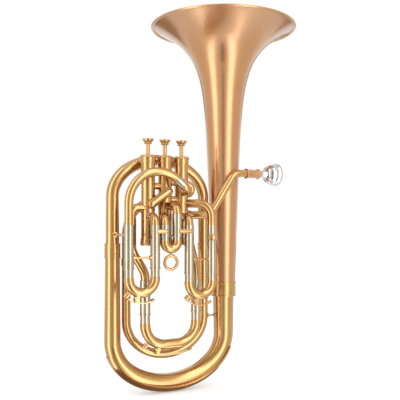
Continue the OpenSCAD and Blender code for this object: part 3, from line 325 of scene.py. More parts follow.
def stations(path: Sequence[Vector], radii: Sequence[float]) -> list[Matrix]:
    """Frames along a path: X points out of the bend, Y to the side, and the scale is the tube's radius.

    Args:
        path: points that never run along Y.
        radii: radius at each point.

    Returns:
        One matrix for each point.
    """
    frames = []
    for i, (point, radius) in enumerate(zip(path, radii)):
        tangent = (path[min(i + 1, len(path) - 1)] - path[max(i - 1, 0)]).normalized()
        side = (Vector((0, 1, 0)) - tangent.y * tangent).normalized()
        out = tangent.cross(side)
        turn = Matrix((out, side, out.cross(side))).transposed().to_4x4()
        frames.append(Matrix.Translation(point) @ turn @ Matrix.Scale(radius, 4))
    return frames


def sweep(bm: BMesh, edges: list[bmesh.types.BMEdge], frames: Sequence[Matrix]) -> None:
    """Extrude an outline that lies in the first frame through all the others.

    Args:
        bm: mesh that holds the outline.
        edges: edges of the outline.
        frames: stations of the path.
    """
    for here, there in zip(frames, frames[1:]):
        grown = bmesh.ops.extrude_edge_only(bm, edges=edges)["geom"]
        edges = [g for g in grown if isinstance(g, bmesh.types.BMEdge) and g.is_boundary]
        verts = list({v for e in edges for v in e.verts})
        bmesh.ops.transform(bm, matrix=there @ here.inverted(), verts=verts)


def swept_tube(path: Sequence[Vector], radii: Sequence[float], wall: float,
               segments: int = 48) -> BMesh:
    """Round tube along a path, with its wall.

    Args:
        path: points of the middle line.
        radii: outside radius at each point.
        wall: thickness of the wall.
        segments: sides of the tube.

    Returns:
        The closed mesh of the tube.
    """
    frames = stations(path, radii)
    bm = bmesh.new()
    bmesh.ops.create_circle(bm, segments=segments, radius=1.0, matrix=frames[0])
    sweep(bm, list(bm.edges), frames)
    bmesh.ops.recalc_face_normals(bm, faces=bm.faces)
    bmesh.ops.solidify(bm, geom=bm.faces[:], thickness=wall)
    return bm


def rounded(points: Sequence[Point2], radius: float, steps: int = 4,
            closed: bool = True) -> list[Point2]:
    """Round the corners of an outline.

    Args:
        points: corners in order.
        radius: radius of the rounding, less where an edge is short.
        steps: steps in each corner.
        closed: whether the last corner joins the first.

    Returns:
        The rounded outline.
    """
    result: list[Point2] = []
    count = len(points)
    for i, corner in enumerate(points):
        if not closed and i in (0, count - 1):
            result.append(corner)
            continue
        here, before, after = (Vector(p) for p in (corner, points[i - 1], points[(i + 1) % count]))
        inward, onward = before - here, after - here
        reach = min(radius, EDGE_SHARE * inward.length, EDGE_SHARE * onward.length)
        start, end = here + reach * inward.normalized(), here + reach * onward.normalized()
        for k in range(steps + 1):
            t = k / steps
            result.append(tuple(start.lerp(here, t).lerp(here.lerp(end, t), t)))
    return result


def beaded(outer: float, bead: float, bead_h: float, groove: Point3, depth: float, low: float,
           high: float) -> list[Point2]:
    """Outside of a ferrule, with a bead and a fine groove at each end.

    Args:
        outer: radius of the ferrule.
        bead: how far a bead stands out.
        bead_h: height of a bead.
        groove: distances of a groove's far edge, floor and near edge from its end, in bead heights.
        depth: depth of a groove.
        low, high: heights of the ends.

    Returns:
        The (radius, height) points from the low end to the high end.
    """
    far, floor, near = (g * bead_h for g in groove)
    end = [(outer, far), (outer - depth, floor), (outer, near), (outer, bead_h), (outer + bead, bead_h),
           (outer + bead, 0.0)]
    return [*((r, low + gap) for r, gap in reversed(end)), *((r, high - gap) for r, gap in end)]


def turned(outline: Sequence[Point2], segments: int = 96, closed: bool = True) -> BMesh:
    """Turn an outline of radii and heights about the Z axis.

    Args:
        outline: (radius, height) points.
        segments: steps round the axis.
        closed: whether the outline is a loop, as for a ring, or ends on the axis.

    Returns:
        The mesh, with its normals outwards.
    """
    bm = bmesh.new()
    verts = [bm.verts.new((r, 0, z)) for r, z in outline]
    pairs = list(zip(verts, verts[1:])) + ([(verts[-1], verts[0])] if closed else [])
    edges = [bm.edges.new(pair) for pair in pairs]
    bmesh.ops.spin(bm, geom=verts + edges, axis=(0, 0, 1), angle=tau, steps=segments, use_merge=True)
    bmesh.ops.remove_doubles(bm, verts=bm.verts, dist=1e-5)
    bmesh.ops.recalc_face_normals(bm, faces=bm.faces)
    return bm


def knurl(bm: BMesh, radius: float, low: float, high: float, depth: float,
          segments: int) -> None:
    """Press a straight knurl into a turned band: every second column of the band goes in.

    Args:
        bm: turned mesh about the Z axis.
        radius: outside radius of the band.
        low, high: heights of the band.
        depth: depth of the knurl.
        segments: steps round the axis that the mesh was turned with.
    """
    for v in bm.verts:
        on_band = low <= v.co.z <= high and abs(hypot(v.co.x, v.co.y) - radius) < depth / 2
        if on_band and round(atan2(v.co.y, v.co.x) / tau * segments) % 2:
            bmesh.ops.scale(bm, vec=(1 - depth / radius, 1 - depth / radius, 1.0), verts=[v])


def mesh_of(name: str, bm: BMesh) -> bpy.types.Mesh:
    """Turn an edited mesh into mesh data.

    Args:
        name: name of the data.
        bm: the edited mesh, which is used up.

    Returns:
        The mesh data.
    """
    mesh = bpy.data.meshes.new(name)
    bm.to_mesh(mesh)
    bm.free()
    return mesh


def linked(name: str, data: bpy.types.ID) -> bpy.types.Object:
    """Put an object that shows the data into the scene.

    Args:
        name: name of the object.
        data: its mesh, lamp or camera.

    Returns:
        The new object.
    """
    obj = bpy.data.objects.new(name, data)
    bpy.context.scene.collection.objects.link(obj)
    return obj


def joined(meshes: Sequence[tuple[BMesh, Matrix]]) -> BMesh:
    """Put several meshes into one, each at its own place.

    Args:
        meshes: pairs of a mesh, which is used up, and its place.

    Returns:
        The mesh that holds them all.
    """
    whole = bmesh.new()
    for bm, place in meshes:
        bmesh.ops.transform(bm, matrix=place, verts=bm.verts)
        part = mesh_of("part", bm)
        whole.from_mesh(part)
        bpy.data.meshes.remove(part)
    return whole


class Workshop:
    """Keeps the finishes and turns meshes into pieces that ride on CAD bodies."""

    SHARP = radians(32)

    def __init__(self) -> None:
        """Start with no finish made."""
        self.finishes: dict[str, bpy.types.Material] = {}

    def material(self, finish: Union[Metal, Fibre]) -> bpy.types.Material:
        """Material of a finish, made once.

        Args:
            finish: the finish.

        Returns:
            The material.
        """
        if finish.name not in self.finishes:
            self.finishes[finish.name] = finish.make()
        return self.finishes[finish.name]

    def piece(self, name: str, bm: BMesh, node: str, finish: Metal = SATIN_BRASS,
              body: Body = Body.HORN) -> bpy.types.Object:
        """Make a mesh, in millimetres, a piece of the horn.

        Args:
            name: name of the piece.
            bm: its mesh, which is used up.
            node: the CAD node that it stands for.
            finish: its finish.
            body: the CAD body that it rides on.

        Returns:
            The new object.
        """
        bmesh.ops.scale(bm, vec=(MM,) * 3, verts=bm.verts)
        mesh = mesh_of(name, bm)
        mesh.shade_smooth()
        mesh.set_sharp_from_angle(angle=self.SHARP)
        mesh.materials.append(self.material(finish))
        obj = linked(name, mesh)
        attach(obj, body.value)
        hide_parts(node)
        LOG.info("%s rides on %s and stands for %s", name, body.value, node)
        return obj

    def dress(self, node: str, finish: Union[Metal, Fibre]) -> None:
        """Give a CAD node that keeps its own shape a finish.

        Args:
            node: name of the node.
            finish: its finish.
        """
        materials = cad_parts[node].data.materials
        materials.clear()
        materials.append(self.material(finish))


@dataclass
class Bell:
    """Flared bell with its rolled rim, and the ferrule that joins it to the bottom bow."""

    axis_x: float = 94.0
    rim_d: float = 231.0
    top: float = 572.0
    joint_z: float = 153.5
    tail_z: float = 165.0
    tail_d: float = 37.4
    taper: float = 0.036
    flare_len: float = 36.5
    wall: float = 0.8
    wire_d: float = 4.0
    ferrule_low_z: float = 142.0
    ferrule_wall: float = 0.9
    bead: float = 0.8
    bead_h: float = 2.0
    groove: Point3 = (2.5, 2.3, 2.2)
    groove_depth: float = 0.25
    ferrule_edge: float = 0.7
    bow_d: float = 33.0
    steps: int = 90
    crowding: float = 2.4
    rim_steps: int = 22

    def flare(self, z: float) -> float:
        """Radius that the flare adds to the cone at a height.

        Args:
            z: the height.

        Returns:
            The added radius.
        """
        end = self.top - self.wall
        rise = (self.rim_d - self.tail_d) / 2 - self.taper * (end - self.tail_z)
        return rise * exp((z - end) / self.flare_len)

    def radius(self, z: float) -> float:
        """Outside radius at a height."""
        return self.tail_d / 2 + self.taper * (z - self.tail_z) + self.flare(z)

    def inside(self, z: float) -> Point2:
        """Find the point that lies a wall's thickness in from the outside face.

        Args:
            z: height of the point on the outside face.

        Returns:
            The (radius, height) point on the inside face.
        """
        slope = self.taper + self.flare(z) / self.flare_len
        scale = self.wall / hypot(1, slope)
        return self.radius(z) - scale, z + slope * scale

    def outline(self) -> list[Point2]:
        """Outline of the sheet with the rim rolled round its wire.

        Returns:
            The (radius, height) points in order.
        """
        wire_r = self.wire_d / 2
        centre = Vector(((self.rim_d - self.wire_d) / 2, self.top - wire_r))
        heights = [mix(self.tail_z, self.top - self.wall, 1 - (1 - i / self.steps) ** self.crowding)
                   for i in range(self.steps + 1)]
        clear = [z for z in heights if (Vector((self.radius(z), z)) - centre).length > wire_r
                 and self.radius(z) < centre.x]
        outer = [(self.radius(z), z) for z in clear]
        inner = [self.inside(z) for z in clear if (Vector(self.inside(z)) - centre).length > wire_r]
        start, end = (atan2(p[1] - centre.y, p[0] - centre.x) for p in (outer[-1], inner[-1]))
        turns = [mix(start, end + tau, k / self.rim_steps) for k in range(self.rim_steps + 1)]
        rim = [centre + wire_r * Vector((cos(a), sin(a))) for a in turns]
        tail = self.radius(self.tail_z)
        return [(tail, self.joint_z), *outer, *(tuple(p) for p in rim), *reversed(inner),
                (tail - self.wall, self.joint_z)]

    def ferrule_outline(self) -> list[Point2]:
        """Outline of the ferrule, with a bead and a fine groove at each end.

        Returns:
            The (radius, height) points in order.
        """
        tail, bow = self.radius(self.tail_z), self.bow_d / 2
        outside = beaded(tail + self.ferrule_wall, self.bead, self.bead_h, self.groove, self.groove_depth,
                         self.ferrule_low_z, self.tail_z)
        return rounded([(bow, self.ferrule_low_z), *outside, (tail, self.tail_z), (tail, self.joint_z),
                        (bow, self.joint_z)], self.ferrule_edge)

    def build(self, shop: Workshop) -> None:
        """Make the bell and its ferrule.

        Args:
            shop: workshop that makes the pieces.
        """
        place = Matrix.Translation((self.axis_x, 0, 0))
        bell = joined([(turned(self.outline(), 160), place)])
        shop.piece("flared_bell", bell, "bell", ROSE_BRASS)
        ferrule = joined([(turned(self.ferrule_outline(), 120), place)])
        shop.piece("bell_ferrule_ring", ferrule, "bell_ferrule")


@dataclass
class MainTubing:
    """The conical tubing from the bell to the valves, with its ferrules, guard and leadpipe."""

    half_span: float = 94.0
    bow_depth: float = 69.0
    bow_bell_d: float = 33.0
    bow_mid_d: float = 27.0
    bow_branch_d: float = 21.5
    guard_t: float = 1.2
    guard_gap: float = 0.02
    guard_bead: float = 9.2
    guard_trim: int = 6
    guard_half_angle: float = 67.5
    bell_joint_z: float = 153.5
    branch_joint_z: float = 217.0
    top_bow_z: float = 297.0
    top_bow_rise: float = 56.0
    branch_d: float = 20.0
    right_leg_x: float = 57.0
    right_leg_d: float = 15.5
    leg_joint_z: float = 222.0
    inner_leg_x: float = -72.5
    inner_bow_z: float = 112.0
    inner_bow_depth: float = 53.5
    small_d: float = 13.0
    arch_joint_z: float = 200.0
    back_arch_z: float = 240.0
    back_arch_r: float = 52.5
    valve_y: float = -32.0
    third_valve_x: float = -51.0
    first_valve_x: float = 3.0
    casing_r: float = 10.2
    stub_gap: float = 0.6
    tuning_left_x: float = -55.5
    tuning_right_x: float = 27.5
    tuning_top_z: float = 174.0
    sleeve_seat: float = 4.0
    arch_land: float = 8.0
    feed_land: float = 4.0
    feed_x: float = -76.5
    feed_z: float = 280.0
    feed_swing_z: float = 225.0
    feed_bend_r: float = 10.0
    leadpipe_d: float = 12.0
    leadpipe_low_z: float = 270.0
    leadpipe_high_z: float = 336.0
    leadpipe_high_x: float = 96.0
    leadpipe_end_x: float = 120.0
    leadpipe_slope: float = 56.0
    leadpipe_r: float = 22.0
    wall: float = 0.8
    ferrule_wall: float = 0.9
    ferrule_edge: float = 0.6
    bead: float = 0.4
    bead_h: float = 1.6
    groove: Point3 = (2.6, 2.4, 2.2)
    groove_depth: float = 0.2
    ferrule_half: float = 5.0
    branch_ferrule_half: float = 11.0
    bend_steps: int = 72
    run_steps: int = 10
    swing_steps: int = 30
    feed_steps: int = 18
    leadpipe_steps: int = 20
    guard_steps: int = 24
    bow_segments: int = 64
    ferrule_segments: int = 72

    @property
    def bow_spring_z(self) -> float:
        """Height at which the bottom bow's curve begins."""
        return self.guard_t + self.guard_gap + self.bow_mid_d / 2 + self.bow_depth

    def bow_path(self) -> list[Vector]:
        """Middle line of the bottom bow, from the bell to the left branch."""
        bend = arc(0, self.bow_spring_z, self.half_span, self.bow_depth, 0, -180, self.bend_steps)
        return bowed((self.half_span, self.bell_joint_z), bend, (-self.half_span, self.branch_joint_z),
                     self.run_steps)

    def bow_radii(self, path: Sequence[Vector]) -> list[float]:
        """Outside radius of the bottom bow at each point of its path.

        Args:
            path: middle line of the bow.

        Returns:
            The radii in order.
        """
        at = lengths(path)
        middle = at[self.run_steps + self.bend_steps // 2]
        stops = [(0, self.bow_bell_d), (middle, self.bow_mid_d),
                 (at[-1] - self.branch_ferrule_half - 1, self.bow_branch_d)]
        return [along(stops, s) / 2 for s in at]

    def tapered(self, path: Sequence[Vector], start_d: float, end_d: float, start_run: float,
                end_run: float) -> BMesh:
        """Tube that narrows steadily, apart from a run of constant diameter at each end."""
        stops = [(start_run, start_d), (lengths(path)[-1] - end_run, end_d)]
        return swept_tube(path, [along(stops, s) / 2 for s in lengths(path)], self.wall)

    def top_path(self) -> list[Vector]:
        """Middle line of the top bow, from the left branch over to the right leg.

        Returns:
            The points in order.
        """
        centre = (self.right_leg_x - self.half_span) / 2
        bend = arc(centre, self.top_bow_z, centre + self.half_span, self.top_bow_rise, 180, 0,
                   self.bend_steps)
        return bowed((-self.half_span, self.branch_joint_z), bend, (self.right_leg_x, self.leg_joint_z),
                     self.run_steps)

    def inner_path(self) -> list[Vector]:
        """Middle line of the inner bow, from the right leg to the inner leg.

        Returns:
            The points in order.
        """
        centre = (self.right_leg_x + self.inner_leg_x) / 2
        bend = arc(centre, self.inner_bow_z, self.right_leg_x - centre, self.inner_bow_depth, 0, -180,
                   self.bend_steps)
        return bowed((self.right_leg_x, self.leg_joint_z), bend, (self.inner_leg_x, self.arch_joint_z),
                     self.run_steps)

    def arch_path(self) -> list[Vector]:
        """Middle line of the back arch, which comes forward to the tuning slide's right sleeve.

        Returns:
            The points in order.
        """
        bend = arc(self.inner_leg_x + self.back_arch_r, self.back_arch_z, self.back_arch_r,
                   self.back_arch_r, 180, 0, self.bend_steps)
        forward = swing(Vector((self.inner_leg_x + 2 * self.back_arch_r, 0, self.back_arch_z)),
                        Vector((self.tuning_right_x, self.valve_y, self.tuning_top_z + self.arch_land)),
                        self.swing_steps)
        return [Vector((self.inner_leg_x, 0, self.arch_joint_z)), *bend, *forward[1:],
                Vector((self.tuning_right_x, self.valve_y, self.tuning_top_z - self.sleeve_seat))]

    def feed_path(self) -> list[Vector]:
        """Middle line of the tube from the third valve down to the tuning slide's left sleeve.

        Returns:
            The points in order.
        """
        bend = arc(self.feed_x + self.feed_bend_r, self.feed_z - self.feed_bend_r, self.feed_bend_r,
                   self.feed_bend_r, 90, 180, self.feed_steps, self.valve_y)
        down = swing(Vector((self.feed_x, self.valve_y, self.feed_swing_z)),
                     Vector((self.tuning_left_x, self.valve_y, self.tuning_top_z + self.feed_land)),
                     self.swing_steps)
        start = Vector((self.third_valve_x - self.casing_r - self.stub_gap, self.valve_y, self.feed_z))
        return [start, *bend, *straight(bend[-1], down[0], self.run_steps), *down,
                Vector((self.tuning_left_x, self.valve_y, self.tuning_top_z - self.sleeve_seat))]

    def leadpipe_path(self) -> list[Vector]:
        """Middle line of the leadpipe, from the first valve up across the bell to the receiver.

        Returns:
            The points in order.
        """
        rise = self.leadpipe_high_z - self.leadpipe_low_z
        low_x = self.leadpipe_high_x - rise / tan(radians(self.leadpipe_slope))
        tangent = self.leadpipe_r * tan(radians(self.leadpipe_slope / 2))
        lower = arc(low_x - tangent, self.leadpipe_low_z + self.leadpipe_r, self.leadpipe_r,
                    self.leadpipe_r, -90, self.leadpipe_slope - 90, self.leadpipe_steps, self.valve_y)
        upper = arc(self.leadpipe_high_x + tangent, self.leadpipe_high_z - self.leadpipe_r,
                    self.leadpipe_r, self.leadpipe_r, 90 + self.leadpipe_slope, 90, self.leadpipe_steps,
                    self.valve_y)
        start_x = self.first_valve_x + self.casing_r + self.stub_gap
        return [Vector((start_x, self.valve_y, self.leadpipe_low_z)), *lower, *upper,
                Vector((self.leadpipe_end_x, self.valve_y, self.leadpipe_high_z))]

    def ferrule(self, low_d: float, high_d: float, half: float) -> BMesh:
        """Ferrule over a joint at the origin, with a bead at each end and a groove inside each bead.

        Args:
            low_d, high_d: diameters of the tubes below and above the joint.
            half: half of its length.

        Returns:
            The mesh of the ferrule.
        """
        outside = beaded(max(low_d, high_d) / 2 + self.ferrule_wall, self.bead, self.bead_h, self.groove,
                         self.groove_depth, -half, half)
        return turned(rounded([(low_d / 2, -half), *outside, (high_d / 2, half), (high_d / 2, 0),
                               (low_d / 2, 0)], self.ferrule_edge), self.ferrule_segments)

    def guard_section(self) -> list[Point2]:
        """Section of the guard round a tube of radius 1: a plain band with a bead along each edge.

        Returns:
            The points in order.
        """
        thick = self.guard_t / (self.bow_mid_d / 2)
        edge = [(0.0, 0.0), (0.0, 1.1), (1.2, 1.5), (4.4, 1.5), (5.6, 1.1), (6.6, 0.72), (8.2, 0.72),
                (self.guard_bead, 1.0)]
        half, steps = self.guard_half_angle, self.guard_steps
        band = [(mix(self.guard_bead, 2 * half - self.guard_bead, i / steps), 1.0) for i in range(1, steps)]
        back = [(mix(2 * half, 0, i / steps), 0.0) for i in range(1, steps)]
        turns = [*edge, *band, *((2 * half - a, h) for a, h in reversed(edge)), *back]
        return [((1 + thick * h) * cos(radians(a - half)),
                 (1 + thick * h) * sin(radians(a - half))) for a, h in turns]

    def guard(self) -> BMesh:
        """Guard strip that lies round the outside of the bottom bow.

        Returns:
            The closed mesh of the strip.
        """
        path = self.bow_path()
        radii = self.bow_radii(path)
        trim = self.run_steps + self.guard_trim
        frames = stations(path[trim:-trim], [r + CLEARANCE for r in radii[trim:-trim]])
        bm = bmesh.new()
        verts = [bm.verts.new((x, y, 0)) for x, y in self.guard_section()]
        edges = [bm.edges.new(pair) for pair in zip(verts, verts[1:] + verts[:1])]
        bmesh.ops.transform(bm, matrix=frames[0], verts=verts)
        sweep(bm, edges, frames)
        bmesh.ops.holes_fill(bm, edges=[e for e in bm.edges if e.is_boundary])
        bmesh.ops.recalc_face_normals(bm, faces=bm.faces)
        return bm

    def build(self, shop: Workshop) -> None:
        """Make the tubes, the ferrules and the guard.

        Args:
            shop: workshop that makes the pieces.
        """
        bow = self.bow_path()
        bow_tube = swept_tube(bow, self.bow_radii(bow), self.wall, self.bow_segments)
        shop.piece("bottom_bow_tube", bow_tube, "bottom_bow")
        shop.piece("bottom_bow_guard", self.guard(), "bow_guard")
        run, branch_run = self.ferrule_half + 1, self.branch_ferrule_half + 1
        for name, node, path, start_d, end_d, start_run, end_run in (
                ("top_bow_tube", "top_bow", self.top_path(), self.branch_d, self.right_leg_d, branch_run,
                 run),
                ("inner_bow_tube", "inner_bow", self.inner_path(), self.right_leg_d, self.small_d, run, run),
                ("back_arch_tube", "back_arch", self.arch_path(), self.small_d, self.small_d, 1, 1),
                ("feed_tube", "tuning_feed_tube", self.feed_path(), self.small_d, self.small_d, 1, 1),
                ("lead_tube", "leadpipe", self.leadpipe_path(), self.leadpipe_d, self.leadpipe_d, 1, 1)):
            shop.piece(name, self.tapered(path, start_d, end_d, start_run, end_run), node)
        joints = [(-self.half_span, self.branch_joint_z, self.bow_branch_d, self.branch_d,
                   self.branch_ferrule_half),
                  (self.right_leg_x, self.leg_joint_z, self.right_leg_d, self.right_leg_d,
                   self.ferrule_half),
                  (self.inner_leg_x, self.arch_joint_z, self.small_d, self.small_d, self.ferrule_half)]
        rings = joined([(self.ferrule(low_d, high_d, half), Matrix.Translation((x, 0, z)))
                        for x, z, low_d, high_d, half in joints])
        shop.piece("beaded_ferrules", rings, "tube_ferrules")


@dataclass
class Valves:
    """Finger buttons, caps, felts and return springs of the three piston valves."""

    places_x: Point3 = (3.0, -24.0, -51.0)
    row_y: float = -32.0
    casing_d: float = 20.4
    cap_over: float = 1.8
    cap_skirt: float = 7.0
    cap_plate: float = 5.0
    cap_floor: float = 4.0
    flange: float = 1.0
    ring: float = 0.6
    knurl_depth: float = 0.3
    bottom_z: float = 225.0
    top_z: float = 357.0
    stem_d: float = 6.0
    piston_top_z: float = 351.7
    button_low_z: float = 376.3
    button_d: float = 16.5
    button_h: float = 4.5
    vent_d: float = 8.8
    spring_low_z: float = 229.3
    spring_h: float = 32.1
    spring_d: float = 12.0
    spring_turns: int = 8
    wire_d: float = 1.2
    travel: float = 16.0
    segments: int = 96

    def at(self, x: float, z: float = 0.0) -> Matrix:
        """Place on a valve's axis."""
        return Matrix.Translation((x, self.row_y, z))

    def top_cap(self) -> BMesh:
        """Top cap with its knurled flange, from its top face at height 0 down.

        Returns:
            The mesh of the cap.
        """
        r = (self.casing_d + self.cap_over) / 2
        crest, hole = r + self.flange, self.stem_d / 2 + 2 * CLEARANCE
        skirt_z = -self.cap_plate - self.cap_skirt
        corners = [(hole, -self.cap_plate), (self.casing_d / 2, -self.cap_plate),
                   (self.casing_d / 2, skirt_z), (r, skirt_z), (r, skirt_z + 1.4), (r - 0.3, skirt_z + 1.7),
                   (r, skirt_z + 2.0), (r, -3.6), (crest, -3.4), (crest, -2.9), (crest, -2.1), (crest, -1.6),
                   (r, -1.4), (r - 0.2, -0.6), (r - 1.2, 0), (hole + 1.5, -0.2), (hole, -0.2)]
        bm = turned(rounded(corners, 0.25, 2), self.segments)
        knurl(bm, crest, -3.1, -1.9, self.knurl_depth, self.segments)
        return bm

    def bottom_cap(self) -> BMesh:
        """Bottom cap with its knurled ring and vent, from its underside at height 0 up.

        Returns:
            The mesh of the cap.
        """
        r = (self.casing_d + self.cap_over) / 2
        crest = r + self.ring
        rim_z = self.cap_floor + self.cap_skirt
        corners = [(0, 1.0), (self.vent_d / 2, 1.0), (self.vent_d / 2, 0), (r - 1.2, 0), (r - 0.2, 0.7),
                   (r, 1.4), (crest, 1.6), (crest, 2.1), (crest, 2.9), (crest, 3.4), (r, 3.6),
                   (r, rim_z - 2.0), (r - 0.3, rim_z - 1.7), (r, rim_z - 1.4), (r, rim_z),
                   (self.casing_d / 2, rim_z), (self.casing_d / 2, self.cap_floor), (0, self.cap_floor)]
        bm = turned(rounded(corners, 0.25, 2, closed=False), self.segments, closed=False)
        knurl(bm, crest, 1.9, 3.1, self.knurl_depth, self.segments)
        return bm

    def button(self) -> BMesh:
        """Stem and mushroom-shaped button with a dished top, from the piston's top at height 0.

        Returns:
            The mesh of both.
        """
        stem, r = self.stem_d / 2, self.button_d / 2
        low = self.button_low_z - self.piston_top_z
        top = low + self.button_h
        under = [(mix(stem + 1.4, r - 0.5, sin(a)), low + 2.6 * (1 - cos(a)))
                 for a in (radians(10 * i) for i in range(1, 9))]
        rim = rounded([under[-1], (r, low + 2.6), (r, top), (r - 1.9, top), (r - 2.6, top - 0.5)], 0.8, 5,
                      closed=False)[1:]
        dish = [((r - 2.6) * (1 - t), top - 0.5 - 0.9 * ease(t)) for t in (0.2, 0.4, 0.6, 0.8, 1.0)]
        return turned([(0, 0), (stem, 0), (stem, low), (stem + 1.4, low), *under, *rim, *dish],
                      self.segments, closed=False)

    def spring(self) -> BMesh:
        """Coil of round wire that stands at height 0.

        Returns:
            The closed mesh of the wire.
        """
        wire, steps = self.wire_d / 2, 24 * self.spring_turns
        bm = bmesh.new()
        bmesh.ops.create_circle(bm, segments=10, radius=wire, matrix=(
            Matrix.Translation((self.spring_d / 2 - wire, 0, wire)) @ Matrix.Rotation(radians(90), 4, "X")))
        bmesh.ops.spin(bm, geom=bm.edges[:], axis=(0, 0, 1), steps=steps, angle=tau * self.spring_turns,
                       dvec=(0, 0, (self.spring_h - self.wire_d) / steps))
        bmesh.ops.holes_fill(bm, edges=bm.edges)
        bmesh.ops.recalc_face_normals(bm, faces=bm.faces)
        return bm

    def build(self, shop: Workshop) -> None:
        """Make the caps, the buttons and the springs, each spring with a mesh of its own, and dress the
        rest.

        Args:
            shop: workshop that makes the pieces.
        """
        tops = joined([(self.top_cap(), self.at(x, self.top_z)) for x in self.places_x])
        shop.piece("knurled_top_caps", tops, "valve_top_caps")
        bottoms = joined([(self.bottom_cap(), self.at(x, self.bottom_z)) for x in self.places_x])
        shop.piece("knurled_bottom_caps", bottoms, "valve_bottom_caps")
        for x, name in zip(self.places_x, ("first", "second", "third")):
            button = joined([(self.button(), self.at(x, self.piston_top_z))])
            shop.piece(f"{name}_finger_button", button, f"{name}_button", body=Body(f"{name}_valve"))
            shop.dress(f"{name}_felt", WOOL_FELT)
            foot = self.at(x, self.spring_low_z)
            coil = joined([(self.spring(), foot)])
            spring = shop.piece(f"{name}_coil_spring", coil, f"{name}_spring", SPRING_WIRE)
            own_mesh(spring)
            shop.dress(f"{name}_piston", NICKEL_SILVER)


@dataclass
class MouthEnd:
    """Mouthpiece and the receiver that holds its shank, turned about the leadpipe's end."""

    end: Point3 = (120.0, -32.0, 336.0)
    receiver_len: float = 20.0
    receiver_seat: float = 4.0
    receiver_ring: float = 2.4
    leadpipe_d: float = 12.0
    shank_tip_r: float = 4.7
    shank_taper: float = 0.03
    shank_gap: float = 1.0
    rim_d: float = 36.0
    cup_d: float = 25.4
    throat_r: float = 2.6
    reach: float = 36.0
    root_run: float = 4.0
    cup_h: float = 23.0
    bowl_h: float = 15.0
    rim_h: float = 3.0
    cup_depth: float = 16.0
    receiver_wall: float = 0.8
    ring_over: float = 1.2
    arc_steps: int = 20

    @property
    def place(self) -> Matrix:
        """Turns +Z along the mouthpiece's axis."""
        return Matrix.Translation(self.end) @ Matrix.Rotation(radians(90), 4, "Y")

    def receiver(self) -> list[Point2]:
        """Outline of the receiver, with a ring at each end.

        Returns:
            The (radius, height) points in order.
        """
        r = self.leadpipe_d / 2 + self.receiver_wall
        ring = r + self.ring_over
        low, high = -self.receiver_seat, self.receiver_len
        mouth = self.shank_tip_r + self.shank_taper * (self.receiver_len - self.shank_gap) + CLEARANCE
        return rounded([(self.leadpipe_d / 2, low), (ring, low), (ring, low + self.receiver_ring),
                        (r, low + self.receiver_ring), (r, high - self.receiver_ring),
                        (ring, high - self.receiver_ring), (ring, high), (mouth, high),
                        (self.shank_tip_r + CLEARANCE, 0), (self.leadpipe_d / 2, 0)], 0.7)

    def mouthpiece(self) -> list[Point2]:
        """Outline of the mouthpiece: shank, bowl, rounded rim, cup and throat.

        Returns:
            The (radius, height) points in order.
        """
        root_z = self.receiver_len + self.root_run
        root = self.shank_tip_r + self.shank_taper * (root_z - self.shank_gap)
        top = self.receiver_len + self.reach
        rim, cup = self.rim_d / 2, self.cup_d / 2
        bowl_z = top - self.cup_h
        quarter = [radians(90 * i / self.arc_steps) for i in range(self.arc_steps + 1)]
        shank = rounded([(self.shank_tip_r - 0.6, self.shank_gap), (self.shank_tip_r, self.shank_gap),
                         (root, root_z), (root - 0.4, root_z + 3), (root + 0.6, bowl_z - 3)], 0.5, 4,
                        closed=False)
        bowl = [(root + 1.2 + (rim - 2.4 - root) * sin(a), bowl_z + self.bowl_h * (1 - cos(a)))
                for a in quarter]
        edge = [((rim + cup) / 2 + (rim - cup) / 2 * cos(2 * a), top + self.rim_h * (sin(2 * a) - 1))
                for a in quarter]
        hollow = [(self.throat_r + (cup - self.throat_r) * cos(a), top - 4 - self.cup_depth * sin(a))
                  for a in quarter[1:]]
        return [*shank, *bowl, (rim - 0.7, top - 6), (rim - 0.1, top - 5), *edge, *hollow,
                (self.throat_r, bowl_z - 3)]

    def build(self, shop: Workshop) -> None:
        """Make the receiver and the mouthpiece.

        Args:
            shop: workshop that makes the pieces.
        """
        receiver = joined([(turned(self.receiver()), self.place)])
        shop.piece("shank_receiver", receiver, "mouthpiece_receiver", ROSE_BRASS)
        mouthpiece = joined([(turned(self.mouthpiece(), 128), self.place)])
        shop.piece("cup_mouthpiece", mouthpiece, "mouthpiece", SILVER_PLATE, Body.MOUTHPIECE)


@dataclass(frozen=True)
class Sleeve:
    """One slide sleeve: its axis, its top, its length, its diameter and that of the leg in it."""

    x: float
    top_z: float
    length: float
    y: float = -62.0
    d: float = 14.0
    leg_d: float = 12.8


